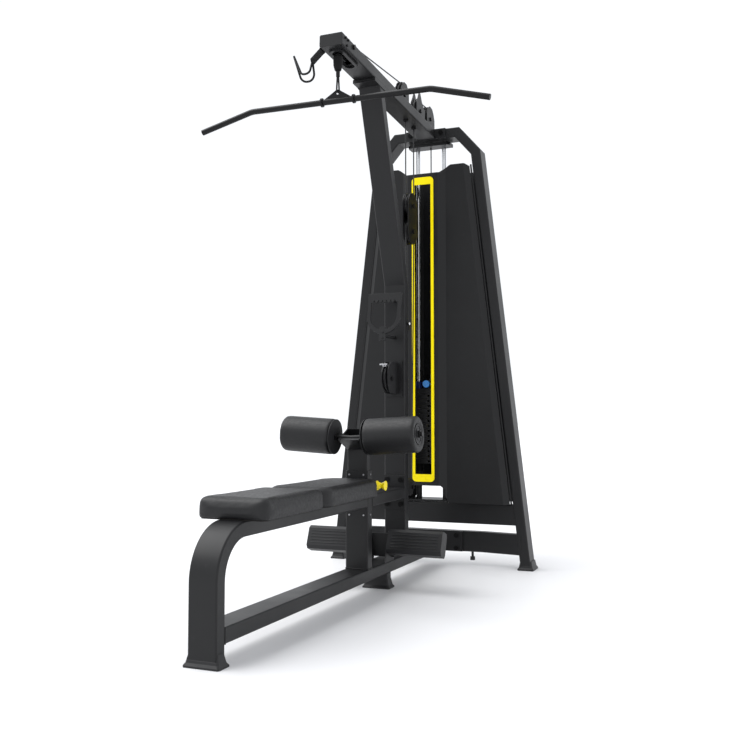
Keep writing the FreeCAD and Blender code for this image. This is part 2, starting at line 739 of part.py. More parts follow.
def weight_plates():
    holes = [("-rod_side", "0", "rod_hole"), ("rod_side", "0", "rod_hole"), ("0", "0", "selector_hole")]
    parts = []
    for index in range(int(size("weight_count"))):
        rise = f"stack_low + {index}*weight_pitch"
        body = plate("top", [weight_outline()], holes, "weight_tall", ("0", "rod_back", rise))
        bore = cylinder("pin_hole", "weight_deep", ("0", "rod_back - weight_deep", f"{rise} + weight_tall/2"), "y")
        parts.append(cut(body, bore))
    return group(*parts)


def top_weight():
    """The lifted head plate with the block that takes the pin."""
    holes = [("-rod_side", "0", "bush_radius"), ("rod_side", "0", "bush_radius"), ("0", "0", "selector_radius")]
    body = plate("top", [weight_outline()], holes, "weight_tall", ("0", "rod_back", "carrier_low"))
    block = box(("2*block_side", "2*(rod_back - block_front)", "block_tall"),
                ("-block_side", "block_front", "carrier_low + weight_tall"))
    bore = cylinder("pin_radius + axle_gap", "80", ("0", "block_front - 40", "pin_rise"), "y")
    core = cylinder("selector_radius", "block_tall", ("0", "rod_back", "carrier_low + weight_tall"))
    return cut(fuse(body, rounded(block, vec(0, 0, 1), "corner")), bore, core)


def guide_bushes():
    parts = []
    for sign in ("-", ""):
        at = (f"{sign}rod_side", "rod_back", "carrier_low")
        outer = cylinder("bush_radius", "weight_tall + bush_tall", at)
        parts.append(cut(outer, cylinder("rod_radius + running_gap", "300", at)))
    return group(*parts)


def selector_rod():
    """The drilled rod below the head plate and the cable eye above it."""
    low = "stack_low + 4"
    top = "carrier_low + weight_tall + block_tall"
    shaft = cylinder("selector_radius", f"{top} + 10 - ({low})", ("0", "rod_back", low))
    eye = cylinder("selector_radius*0.7", "26", ("0", "rod_back", f"{top} + 10"))
    bores = [cylinder("pin_radius + axle_gap", "80", ("0", "rod_back - 40", "pin_rise"), "y")]
    for index in range(1, int(size("weight_count"))):
        rise = f"stack_low + {index}*weight_pitch + weight_tall/2"
        bores.append(cylinder("pin_hole", "80", ("0", "rod_back - 40", rise), "y"))
    return cut(fuse(shaft, eye), *bores)


def selector_pin():
    shaft = cylinder("pin_radius", "rod_back + 6 - pin_front", ("0", "pin_front", "pin_rise"), "y")
    knob = cylinder("pin_knob_radius", "pin_knob_long", ("0", "pin_front - pin_knob_long", "pin_rise"), "y")
    doc.recompute()
    rim = doc.addObject("Part::Fillet", "rounded")
    rim.Base = knob
    rim.Edges = [(1, 5.0, 5.0), (3, 4.0, 4.0)]
    return fuse(shaft, rim)


# ---------------------------------------------------------------- pulleys and cables
def pulley(back_at, rise, kind="pulley"):
    """A moulded grooved wheel: a turned section with a cable groove, web and hub."""
    radius = size(f"{kind}_radius")
    half = size("pulley_wide") / 2
    pitch = size({"head": "head_pitch", "low": "low_pitch"}.get(kind, "pitch_radius"))
    groove = size("groove_radius")
    hub = size("hub_radius")
    bore = size("axle_radius") + size("bearing_gap")
    web = size("web_half")
    rim = pitch - groove - 6
    root = pitch - size("cable_radius") - 0.6
    outline = [(bore, -half), (hub, -half), (hub + 3, -web), (rim - 4, -web), (rim, -half + 2),
               (radius, -half + 2), (radius, -half + 4), (root, -3), (root, 3),
               (radius, half - 4), (radius, half - 2), (rim, half - 2), (rim - 4, web), (hub + 3, web),
               (hub, half), (bore, half)]
    points = [vec(along, 0, out) for out, along in outline]
    face = Part.Face(Part.makePolygon(points + [points[0]]))
    item = doc.addObject("Part::Feature", "pulley")
    item.Shape = face.revolve(vec(), vec(1, 0, 0), 360)
    return place(item, ("0", back_at, rise))


def cheeks(outline, at, circles=(("0", "0", "axle_radius"),)):
    """A pair of pulley side plates about the middle plane."""
    gap = "pulley_wide/2 + side_gap"
    parts = []
    for shift in (gap, f"-({gap}) - bracket"):
        parts.append(plate("side", [outline], circles, "bracket", (shift, at[0], at[1])))
    return parts


def tower_pulley_brackets():
    trapezoid = [("-62", "-36"), ("62", "-42"), ("60", "30"), ("30", "60"), ("-4", "62"), ("-46", "26")]
    fin = [("-58", "-46"), ("66", "-52"), ("70", "22"), ("44", "34"), ("22", "56"), ("2", "88"),
           ("-14", "90"), ("-30", "62"), ("-52", "34")]
    rounded_fin = [("-52", "-60"), ("66", "-60"), ("66", "10"), ("52", "38"), ("30", "60"), ("-6", "66"),
                   ("-38", "48"), ("-54", "16")]
    return group(*cheeks(trapezoid, ("first_back", "first_rise")),
                 *cheeks(fin, ("second_back", "second_rise")),
                 *cheeks(rounded_fin, ("third_back", "third_rise")))


def oval_plate(half_wide, low, high, thick, centre):
    """A stadium plate in the YZ plane, its thickness from the given centre towards +X."""
    bottom_left = vec(0, -half_wide, low)
    bottom_right = vec(0, half_wide, low)
    top_left = vec(0, -half_wide, high)
    top_right = vec(0, half_wide, high)
    wire = Part.Wire([
        Part.Arc(bottom_left, vec(0, 0, low - half_wide), bottom_right).toShape(),
        Part.LineSegment(bottom_right, top_right).toShape(),
        Part.Arc(top_right, vec(0, 0, high + half_wide), top_left).toShape(),
        Part.LineSegment(top_left, bottom_left).toShape(),
    ])
    solid = Part.Face(wire).extrude(vec(thick, 0, 0))
    solid.translate(centre)
    return solid


def floating_block():
    """Two oval side plates that hang in the cable loop, drilled for both axles."""
    gap = size("pulley_wide") / 2 + size("side_gap")
    thick = size("bracket")
    parts = []
    for shift in (gap, -gap - thick):
        solid = oval_plate(62, size("block_lower"), size("block_upper"), thick,
                           vec(shift, back(size("block_back")), 0))
        for rise in (size("block_lower"), size("block_upper")):
            hole = Part.makeCylinder(size("axle_radius"), 40, vec(shift - 10, back(size("block_back")), rise),
                                     vec(1, 0, 0))
            solid = solid.cut(hole)
        parts.append(feature(solid))
    return group(*parts)


def axle(back_at, rise, reach="pulley_wide/2 + side_gap + bracket"):
    """An axle bolt through a pulley, with a hexagonal head and nut outside the cheeks."""
    shaft = cylinder("axle_radius", f"2*({reach})", (f"-({reach})", back_at, rise), "x")
    ends = []
    for shift in (f"-({reach}) - 7", reach):
        end = doc.addObject("Part::Prism", "hexagon")
        end.Polygon = 6
        bind(end, "Circumradius", "axle_radius*1.75")
        bind(end, "Height", "7")
        place(end, (shift, back_at, rise), TURNS["x"])
        ends.append(end)
    return fuse(shaft, *ends)


def pulley_axles():
    beam = "tube_wide/2"
    return group(
        axle("head_back", "head_rise", beam),
        axle("first_back", "first_rise"), axle("second_back", "second_rise"),
        axle("third_back", "third_rise"), axle("block_back", "block_upper"),
        axle("block_back", "block_lower"), axle("low_back", "low_rise"),
        axle("first_back", "mast_pulley_rise"), axle("exit_back", "mast_pulley_rise"),
    )


def row_pulley_brackets():
    """Cheeks on the mast for the low pulley, the pulley behind it and the cable's exit."""
    low = [("-142.5", "-24"), ("8", "-24"), ("20", "-10"), ("20", "10"), ("8", "24"), ("-142.5", "54")]
    behind = [("-48.6", "-64"), ("-10", "-64"), ("28", "-24"), ("36", "4"), ("24", "34"), ("-10", "64"),
              ("-48.6", "64")]
    exit_cheek = [("76", "-68"), ("76", "75"), ("2", "75"), ("-26", "60"), ("-42", "30"), ("-45", "0"),
                  ("-39", "-32"), ("-21", "-56"), ("6", "-68")]
    pad = plate("front", [rectangle("-40", "40", "830", "995"), rectangle("-16", "16", "848", "986")], [],
                "6", ("0", "mast_front", "0"))
    anchor = plate("side", [[("0", "-20"), ("106", "-20"), ("122", "-6"), ("122", "12"), ("0", "32")]], [],
                   "bracket*2", ("cable_radius + 1", "mast_front + tube_deep", "anchor_rise"))
    ends = cylinder("10", "16", ("0", "block_back - pitch_radius", "anchor_rise - 14"))
    screw = cylinder("axle_radius", "12", ("tube_wide/2", "mast_front + tube_deep/2 + 8", "anchor_rise"), "x")
    return group(*cheeks(low, ("low_back", "low_rise")), *cheeks(behind, ("first_back", "mast_pulley_rise")),
                 *cheeks(exit_cheek, ("exit_back", "mast_pulley_rise")), pad,
                 fuse(anchor, ends), screw)


def yz(back_at, rise):
    return vec(0, back(back_at), rise)


def wrap(centre, start, end, pitch="pitch_radius"):
    """An arc of a pulley's pitch circle between two angles, measured from +Y towards +Z."""
    radius = size(pitch)
    points = []
    for angle in (start, (start + end) / 2, end):
        points.append(centre + vec(0, math.cos(angle), math.sin(angle)) * radius)
    return Part.Arc(*points).toShape()


def cable(edges):
    return rod(Part.Wire(edges), size("cable_radius"))


def join(first, second):
    return Part.LineSegment(first.Vertexes[-1].Point, second.Vertexes[0].Point).toShape()


def over(first, second, first_pitch="pitch_radius", second_pitch="pitch_radius"):
    """The climb angle of the cable that runs over the same side of two pulleys."""
    step = second - first
    extra = size(second_pitch) - size(first_pitch)
    return math.atan2(step.z, step.y) + math.asin(extra / step.Length)


def lat_cable():
    """From the head pulley's front over the tower pulleys to the last one's rear."""
    head = yz(size("head_back"), size("head_rise"))
    one = yz(size("first_back"), size("first_rise"))
    block = yz(size("block_back"), size("block_upper"))
    two = yz(size("second_back"), size("second_rise"))
    three = yz(size("third_back"), size("third_rise"))
    quarter = math.pi / 2
    lean = over(head, one, "head_pitch")
    climb = over(two, three)
    arcs = [
        wrap(head, math.pi, quarter + lean, "head_pitch"),
        wrap(one, quarter + lean, 0),
        wrap(block, math.pi, 2 * math.pi),
        wrap(two, math.pi, quarter + climb),
        wrap(three, quarter + climb, 0),
    ]
    edges = [arcs[0]]
    for before, after in zip(arcs, arcs[1:]):
        edges += [join(before, after), after]
    return feature(cable(edges))


def row_cable():
    """From its anchor on the mast over the floating block, round the low pulley to the exit."""
    block = yz(size("block_back"), size("block_lower"))
    low = yz(size("low_back"), size("low_rise"))
    behind = yz(size("first_back"), size("mast_pulley_rise"))
    front = yz(size("exit_back"), size("mast_pulley_rise"))
    quarter = math.pi / 2
    anchor = yz(size("block_back") - size("pitch_radius"), size("anchor_rise") + 2)
    fall = quarter + over(block, low, second_pitch="low_pitch")
    arcs = [wrap(block, math.pi, fall), wrap(low, fall, -math.pi, "low_pitch"), wrap(behind, 0, quarter)]
    edges = [Part.LineSegment(anchor, arcs[0].Vertexes[0].Point).toShape(), arcs[0]]
    for before, after in zip(arcs, arcs[1:]):
        edges += [join(before, after), after]
    end = front + vec(0, -size("stop_reach"), size("pitch_radius"))
    edges.append(Part.LineSegment(arcs[-1].Vertexes[-1].Point, end).toShape())
    return feature(cable(edges))


def bar_cable():
    top = yz(size("head_back") - size("head_pitch"), size("head_rise"))
    low = vec(top.x, top.y, size("sleeve_high"))
    return feature(cable([Part.LineSegment(low, top).toShape()]))


def stack_cable():
    top = yz(size("third_back") + size("pitch_radius"), size("third_rise"))
    head = size("carrier_low") + size("weight_tall") + size("block_tall") + 36
    low = vec(top.x, top.y, head)
    return feature(cable([Part.LineSegment(low, top).toShape()]))


def row_cable_stop():
    """The ball stop and shackle pin that park the row cable in front of its exit pulley."""
    centre = yz(size("exit_back") - size("stop_reach"), size("mast_pulley_rise") + size("pitch_radius"))
    ball = Part.makeSphere(size("stop_radius"), centre + vec(0, -3, 0))
    stem = Part.makeCylinder(4, 16, centre + vec(0, -4, 0), vec(0, -1, 0))
    pin = Part.makeCylinder(3.5, 36, centre + vec(-18, -15, 4), vec(1, 0, 0))
    solid = ball.multiFuse([stem, pin])
    return feature(solid.cut(Part.makeCylinder(size("cable_radius"), 30, centre, vec(0, 1, 0))))


# ---------------------------------------------------------------- lat bar and its link
def hung_askew(shape):
    """The bar hangs turned a little about the cable."""
    turned = shape.copy()
    turned.rotate(vec(0, back(size("head_back") - size("head_pitch")), 0), vec(0, 0, 1), size("bar_turn"))
    return turned


def lat_bar():
    drop = back(size("head_back") - size("head_pitch"))
    right = [vec(size("bar_bend_side"), drop, size("bar_rise")),
             vec(size("bar_end_side"), drop, size("bar_end_rise"))]
    left = [vec(-point.x, point.y, point.z) for point in reversed(right)]
    spine = path(left + right, size("bar_bend_radius"))
    outer = rod(spine, size("bar_radius"))
    inner = rod(path([left[0] * 0.995 + left[1] * 0.005, left[1], right[0],
                      right[0] * 0.005 + right[1] * 0.995], size("bar_bend_radius")),
                size("bar_radius") - size("bar_wall"))
    return feature(hung_askew(outer.cut(inner)))


def bar_fittings():
    """The two collars and the lug that the link hooks into."""
    drop = "head_back - head_pitch"
    parts = []
    for side in ("-collar_side", "collar_side"):
        at = (f"{side} - collar_wide/2", drop, "bar_rise")
        ring = cut(cylinder("collar_radius", "collar_wide", at, "x"),
                   cylinder("bar_radius", "collar_wide", at, "x"))
        parts.append(ring)
    lug = plate("front", [[("-tab_side", "bar_rise + 8"), ("tab_side", "bar_rise + 8"),
                           ("14", "tab_top - 6"), ("6", "tab_top"), ("-6", "tab_top"), ("-14", "tab_top - 6")]],
                [("0", "tab_top - 13", "7")], "tab_thick", ("0", f"{drop} + tab_thick/2", "0"))
    span = cylinder("bar_radius", "4*tab_side", ("-2*tab_side", drop, "bar_rise"), "x")
    parts.append(cut(lug, span))
    doc.recompute()
    return group(*[feature(hung_askew(part.Shape)) for part in parts])


def snap_link():
    """A pear-shaped wire link hooked through the bar's lug, with a swivel barrel on top."""
    drop = back(size("head_back") - size("head_pitch"))
    wide = size("link_side")
    narrow = size("link_tip_side")
    low = vec(0, drop, size("link_low") + wide)
    high = vec(0, drop, size("link_top") - narrow)
    lean = math.asin((wide - narrow) / (high.z - low.z))

    def around(centre, radius, angle):
        return centre + vec(0, math.cos(angle), math.sin(angle)) * radius

    ends = [around(low, wide, math.pi - lean), around(low, wide, lean)]
    tips = [around(high, narrow, lean), around(high, narrow, math.pi - lean)]
    wire = Part.Wire([
        Part.LineSegment(tips[1], ends[0]).toShape(),
        Part.Arc(ends[0], around(low, wide, -math.pi / 2), ends[1]).toShape(),
        Part.LineSegment(ends[1], tips[0]).toShape(),
        Part.Arc(tips[0], around(high, narrow, math.pi / 2), tips[1]).toShape(),
    ])
    profile = Part.Wire([Part.Circle(tips[1], ends[0] - tips[1], size("link_wire")).toShape()])
    ring = wire.makePipeShell([profile], True, False, 0)
    start = size("sleeve_low") - 1 - size("swivel_tall")
    barrel = Part.makeCylinder(size("swivel_radius"), size("swivel_tall"), vec(0, drop, start))
    bore = Part.makeCylinder(size("swivel_pin") + size("running_gap"), 20, vec(0, drop, start + 5))
    return feature(ring.fuse(barrel).cut(bore))


def cable_sleeve():
    """The rubber stop sleeve on the cable's end, with the swivel pin under it."""
    drop = "head_back - head_pitch"
    tip = cone("sleeve_tip", "sleeve_radius - 1", "20", ("0", drop, "sleeve_low"))
    body = cone("sleeve_radius - 1", "sleeve_radius", "sleeve_high - sleeve_low - 20 - sleeve_shoulder",
                ("0", drop, "sleeve_low + 20"))
    head = cone("sleeve_radius", "sleeve_radius - 5", "sleeve_shoulder", ("0", drop, "sleeve_high - sleeve_shoulder"))
    pin = cylinder("swivel_pin", "swivel_tall", ("0", drop, "sleeve_low + 6 - swivel_tall"))
    return fuse(tip, body, head, pin)


def bar_hook():
    """The arm and bent rod cradle that parks the bar beside the head."""
    arm_spine = path([
        vec(-size("tube_wide") / 2, back(932), 2212),
        vec(-62, back(932), 2205),
        vec(-100, back(932), 2172),
    ])
    profile = rectangle_wire(arm_spine.Vertexes[0].Point, vec(0, 1, 0), vec(0, 0, 1), 34, 15, 3.0)
    arm = arm_spine.makePipeShell([profile], True, False, 1)
    tip = vec(-183, back(932), 2206)
    start = vec(-99, back(932), 2176)
    corners = (
        [vec(-139, back(914), 2118), vec(-104, back(914), 2118)],
        [vec(-159, back(958), 2103), vec(-100, back(958), 2103)],
    )
    rods = [rod(path([tip, *pair, start], bend), 4.4) for pair, bend in zip(corners, (19.0, 30.0))]
    return feature(arm.multiFuse(rods))


# ---------------------------------------------------------------- knee pads and seats
def knee_post():
    """The sliding post and the folded fork that carries the roller shafts."""
    post = tube(("post_wide", "post_deep", "post_top - post_low"),
                ("-post_wide/2", "sleeve_front + (tube_deep - post_deep)/2", "post_low"), "z")
    half = size("post_wide") / 2
    front = back(size("sleeve_front") + (size("tube_deep") - size("post_deep")) / 2)
    rear = front + size("post_deep")
    low = size("post_top") - 4
    wall = size("fork_wall")
    hoppers = []
    for shrink in (0.0, wall):
        lower = [(half - shrink, front + shrink, low + shrink), (half - shrink, rear - shrink, low + shrink)]
        wide = size("fork_side") - shrink
        upper = [(wide, back(size("fork_front")) + shrink, size("fork_lip") + 2 * shrink),
                 (wide, back(size("fork_rear")) - shrink, size("fork_high") + 2 * shrink)]
        rings = []
        for (x_1, y_1, z_1), (x_2, y_2, z_2) in (lower, upper):
            ring = [vec(-x_1, y_1, z_1), vec(x_1, y_1, z_1), vec(x_2, y_2, z_2), vec(-x_2, y_2, z_2)]
            rings.append(Part.makePolygon(ring + [ring[0]]))
        hoppers.append(Part.makeLoft(rings, True, True))
    fork = hoppers[0].cut(hoppers[1]).cut(shafts_shape())
    holes = []
    for index in range(7):
        rise = f"knob_rise - 100 + {index}*25"
        holes.append(cylinder("pin_radius + axle_gap", "20", ("post_wide/2 - 10", "knob_back", rise), "x"))
    return fuse(cut(post, *holes), feature(fork))


def tilted(item_shape, side):
    """Turn a roller part drawn along X about the fork so that its outer end is higher."""
    tilt = size("roller_tilt")
    shape = item_shape.copy()
    shape.rotate(vec(), vec(0, 1, 0), -tilt if side > 0 else tilt)
    shape.translate(vec(0, back(size("fork_back")), size("fork_rise")))
    return shape


def shafts_shape():
    """The two roller shafts, joined where they meet in the middle of the fork."""
    shafts = []
    for side in (-1, 1):
        shaft = Part.makeCylinder(size("shaft_radius"), size("shaft_long"), vec(), vec(side, 0, 0))
        shafts.append(tilted(shaft, side))
    return shafts[0].fuse(shafts[1])


def along_shaft(radius, start, end, side):
    return Part.makeCylinder(radius, end - start, vec(side * start, 0, 0), vec(side, 0, 0))


def roller(side):
    """A foam sleeve with a shallow recess for the disc at its outer end."""
    start = size("roller_inner") + size("roller_cap")
    end = size("roller_inner") + size("roller_long")
    foam = along_shaft(size("roller_radius"), start, end, side)
    for reach, radius in ((start, 2.5), (end, 6.0)):
        rim = [edge for edge in foam.Edges if abs(abs(edge.CenterOfMass.x) - reach) < 0.1
               and edge.Curve.TypeId == "Part::GeomCircle"]
        foam = foam.makeFillet(radius, rim)
    recess = along_shaft(size("recess_radius"), end - size("recess_deep"), end + 1, side)
    hole = along_shaft(size("shaft_radius") + 4, start, end, side)
    return feature(tilted(foam.cut(recess).cut(hole), side))


def roller_caps(side):
    """A roller's core tube with a broad disc at its inner end and a dished one at its outer end."""
    start = size("roller_inner")
    end = start + size("roller_long")
    floor = end - size("recess_deep")
    dish = along_shaft(34, end - 6, end, side).cut(along_shaft(24, end - 6, end, side))
    inner_disc = along_shaft(size("roller_radius") - 3, start, start + size("roller_cap"), side)
    outer_disc = along_shaft(size("recess_radius") - 6, floor, end - 4, side)
    core = along_shaft(size("shaft_radius") + 4, start, end, side)
    bore = along_shaft(size("shaft_radius") + size("bearing_gap"), start - 10, end + 10, side)
    return feature(tilted(core.multiFuse([inner_disc, outer_disc]).cut(dish).cut(bore), side))


def shaft_ends():
    """Retaining washers that keep the rollers on their shafts."""
    parts = []
    for side in (-1, 1):
        for shift in (size("roller_inner") - 5.5, size("roller_inner") + size("roller_long") + 0.5):
            ring = Part.makeCylinder(size("shaft_radius") + 5, 5, vec(side * shift, 0, 0), vec(side, 0, 0))
            parts.append(feature(tilted(ring, side).cut(shafts_shape())))
    return parts


def sleeve_hardware():
    """The guide screws round the sleeve and the plunger's threaded barrel."""
    parts = []
    for rise in ("sleeve_top - 15", "sleeve_top - 180"):
        for side in ("-32", "32"):
            parts.append(cylinder("screw_radius", "3", (side, "sleeve_front - 3", rise), "y"))
        parts.append(cylinder("screw_radius", "3", ("tube_wide/2", "sleeve_front + 25", rise), "x"))
        parts.append(cylinder("screw_radius", "3", ("-tube_wide/2 - 3", "sleeve_front + 25", rise), "x"))
    barrel = cut(cylinder("11", "14", ("tube_wide/2", "knob_back", "knob_rise"), "x"),
                 cylinder("pin_radius + axle_gap", "40", ("tube_wide/2 - 10", "knob_back", "knob_rise"), "x"))
    return group(*parts, barrel)


def pop_pin():
    """The spring plunger: a steel pin with a spool-shaped pull knob."""
    start = "tube_wide/2 - 2"
    pin = cylinder("pin_radius", f"knob_out + 8 - ({start})", (start, "knob_back", "knob_rise"), "x")
    half = "knob_long/2"
    near = cone("knob_radius", "knob_radius*0.5", half, ("knob_out", "knob_back", "knob_rise"), "x")
    far = cone("knob_radius*0.5", "knob_radius", half, (f"knob_out + {half}", "knob_back", "knob_rise"), "x")
    return fuse(pin, near, far)


def rounded_block(side, front, rear, high, front_radius, rear_radius):
    """A block standing on the bench rail with its corners rounded in plan."""
    low = size("seat_low")
    block = Part.makeBox(2 * side, rear - front, high - low, vec(-side, back(front), low))
    for end, radius in ((front, front_radius), (rear, rear_radius)):
        upright = [edge for edge in block.Edges if abs(edge.Vertexes[0].Point.y - back(end)) < 1
                   and edge.Curve.TypeId == "Part::GeomLine" and abs(edge.tangentAt(edge.FirstParameter).z) > 0.9]
        block = block.makeFillet(radius, upright)
    return block


def seat_board(front, rear, front_radius, rear_radius):
    inset = size("board_inset")
    high = size("seat_low") + size("board_thick")
    return rounded_block(size("seat_side") - inset, front + inset, rear - inset, high,
                         front_radius - inset, rear_radius - inset)


def seat_pad(front, rear, front_radius, rear_radius):
    """One cushion as a plain closed block that wraps round its board."""
    block = rounded_block(size("seat_side"), front, rear, size("seat_top"), front_radius, rear_radius)
    top = [edge for edge in block.Edges if edge.BoundBox.ZMin > size("seat_top") - 0.5]
    return block.makeFillet(18.0, top).cut(seat_board(front, rear, front_radius, rear_radius))


# ---------------------------------------------------------------- footplates and mast fittings
def footplate_outline():
    half = "footplate_tall/2"
    deep = "footplate_deep"
    return [("0", f"-{half}"), (deep, f"-{half}"), (f"{deep} + 10", f"12 - {half}"),
            (f"{deep} + 10", f"{half} - 12"), (deep, half), ("0", half), ("-12", f"{half} - 14"),
            ("-12", f"14 - {half}")]


def footplates():
    """Two tilted foot rests with plain front faces."""
    parts = []
    turn = FreeCAD.Rotation(vec(1, 0, 0), -size("footplate_tilt")).multiply(FACES["side"])
    for start in ("-footplate_side", "footplate_inner"):
        slab = plate("side", [footplate_outline()], [], "footplate_side - footplate_inner",
                     (start, "footplate_back", "footplate_rise"), turn)
        parts.append(slab)
    return group(*parts)


def footplate_bracket():
    """The cross plate and gussets that carry both footplates from the base beam."""
    cross = box(("2*footplate_side - 60", "10", "60"),
                ("30 - footplate_side", "middle_foot_back + 34", "footplate_rise - 40"))
    panel = box(("124", "10", "80"), ("-62", "middle_foot_back + 34", "base_low + tube_deep + 14"))
    parts = [cross, panel]
    for side in ("-tube_wide/2", "tube_wide/2 - bracket"):
        gusset = plate("side", [[("-50", "0"), ("60", "0"), ("60", "60"), ("34", "112"), ("20", "112")]], [],
                       "bracket", (side, "middle_foot_back", "base_low + tube_deep"))
        parts.append(gusset)
    return fuse(*parts)


def hanger():
    """A D-shaped accessory hanger: a framed opening with notches, on a stem and two stand-offs."""
    side = size("hanger_side")
    top = size("hanger_top")
    low = size("hanger_low")
    thick = size("hanger_thick")
    front = back(size("hanger_front"))

    def dee(inset, head):
        shoulder = low + 88
        wide = side - inset
        corner = vec(-wide, front, top - head)
        points = [vec(wide, front, top - head), vec(wide, front, shoulder), vec(0, front, low + inset),
                  vec(-wide, front, shoulder)]
        bottom = Part.Arc(points[1], points[2], points[3]).toShape()
        return [Part.LineSegment(corner, points[0]).toShape(), Part.LineSegment(points[0], points[1]).toShape(),
                bottom, Part.LineSegment(points[3], corner).toShape()]

    solid = Part.Face(Part.Wire(dee(0, 0))).extrude(vec(0, thick, 0))
    opening = Part.Face(Part.Wire(dee(17, 42))).extrude(vec(0, thick, 0))
    solid = solid.cut(opening)
    pitch = 19.5
    for index in range(6):
        across = (index - 2.5) * pitch
        tooth = [vec(across - 8, front, top - 44), vec(across + 8, front, top - 44), vec(across, front, top - 30)]
        solid = solid.cut(Part.Face(Part.makePolygon(tooth + [tooth[0]])).extrude(vec(0, thick, 0)))
    stem = Part.makeBox(30, thick, 64, vec(-15, front, low - 32))
    solid = solid.fuse(stem)
    for rise in (low - 18, low + 8):
        solid = solid.fuse(Part.makeCylinder(5, 3, vec(0, front - 3, rise), vec(0, 1, 0)))
    tilt = size("hanger_tilt")
    solid.rotate(vec(0, front, top), vec(1, 0, 0), -tilt)
    for rise in (low - 4, top - 20):
        plate_back = front - (top - rise) * math.tan(math.radians(tilt)) + thick
        reach = back(size("mast_front")) - plate_back
        solid = solid.fuse(Part.makeCylinder(8, reach, vec(0, plate_back, rise), vec(0, 1, 0)))
    return feature(solid)


# ---------------------------------------------------------------- build every node
bench_outer = box(("tube_wide", "tube_deep", "bench_low/2"), ("-tube_wide/2", "0", "post_start"))
tower_outer, tower_inner = tower_solids()
trim = slanted(level_box(("3*tube_wide", "900", "500"), ("-1.5*tube_wide", "0", "-2*plate")))

node("bench_frame", bench_frame())
node("base_beam", base_beam())
node("rear_post", rear_post())
node("bench_link", bench_link())
node("mast", mast(trim))
node("overhead_beam", overhead_beam())
node("tower_frame", tower_frame())
node("upper_crossbeam", upper_crossbeam(tower_outer))
node("lower_crossbeam", lower_crossbeam(tower_outer))
node("feet", feet(bench_outer, tower_outer))
node("welded_plates", welded_plates())
node("frame_bolts", frame_bolts())
node("sleeve_hardware", sleeve_hardware())
node("front_shroud", front_shroud())
node("rear_shroud", rear_shroud())
node("window_trim", window_trim())
node("guide_rods", guide_rods())
node("guide_rod_plates", guide_rod_plates())
node("buffers_and_grommets", buffers_and_grommets())
node("weight_plates", weight_plates())
node("tower_pulley_brackets", tower_pulley_brackets())
node("row_pulley_brackets", row_pulley_brackets())
node("floating_block", floating_block())
node("pulley_axles", pulley_axles())
node("bar_hook", bar_hook())
node("footplates", footplates())
node("footplate_bracket", footplate_bracket())
node("accessory_hanger", hanger())
front_seat = (size("seat_front"), size("seat_split"), size("seat_corner"), size("seat_corner"))
rear_seat = (size("seat_split") + size("seat_gap"), size("seat_back"), size("seat_joint_corner"),
             size("seat_rear_corner"))
node("seat_pad_front", feature(seat_pad(*front_seat)))
node("seat_pad_rear", feature(seat_pad(*rear_seat)))
node("seat_boards", group(feature(seat_board(*front_seat)), feature(seat_board(*rear_seat))))
node("lat_cable", lat_cable())
node("row_cable", row_cable())
node("row_cable_stop", row_cable_stop())
node("top_weight", top_weight())
node("selector_rod", selector_rod())
node("guide_bushes", guide_bushes())
node("stack_cable", stack_cable())
node("selector_pin", selector_pin())
node("bar_cable", bar_cable())
node("cable_sleeve", cable_sleeve())
node("snap_link", snap_link())
node("lat_bar", lat_bar())
node("bar_fittings", bar_fittings())
node("knee_post", knee_post())
node("roller_shaft", group(feature(shafts_shape()), *shaft_ends()))
node("left_roller", roller(-1))
node("left_roller_core", roller_caps(-1))
node("right_roller", roller(1))
node("right_roller_core", roller_caps(1))
node("pop_pin", pop_pin())
PULLEYS = {
    "head_pulley": ("head_back", "head_rise", "head"),
    "first_tower_pulley": ("first_back", "first_rise"),
    "block_upper_pulley": ("block_back", "block_upper"),
    "second_tower_pulley": ("second_back", "second_rise"),
    "third_tower_pulley": ("third_back", "third_rise"),
    "block_lower_pulley": ("block_back", "block_lower"),
    "low_pulley": ("low_back", "low_rise", "low"),
    "mast_pulley": ("first_back", "mast_pulley_rise"),
    "exit_pulley": ("exit_back", "mast_pulley_rise"),
}
for name, centre in PULLEYS.items():
    node(name, pulley(*centre))

doc.recompute()

for item in doc.Objects:
    if "Invalid" in item.State or "Error" in item.State:
        raise RuntimeError(f"{item.Name} ({item.Label}) failed to compute")
for name, item in nodes.items():
    if item.Shape.isNull() or not item.Shape.isValid() or not item.Shape.Solids:
        raise RuntimeError(f"{name} has no valid solid")

os.makedirs("parts", exist_ok=True)
for name, item in nodes.items():
    item.Shape.exportStep(f"parts/{name}.step")

whole = FreeCAD.BoundBox()
for item in nodes.values():
    whole.add(item.Shape.BoundBox)
print(f"{len(nodes)} nodes, box {whole}")
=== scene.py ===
"""Looks for a lat pulldown and low row machine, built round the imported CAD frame.

Everything is in metres, in the CAD part's own frame: +Y runs from the bench to the weight
tower, +X is to the right of a sitter who faces the tower, and +Z is up.
"""
import json
import math

import bmesh
import bpy
from mathutils import Matrix, Vector


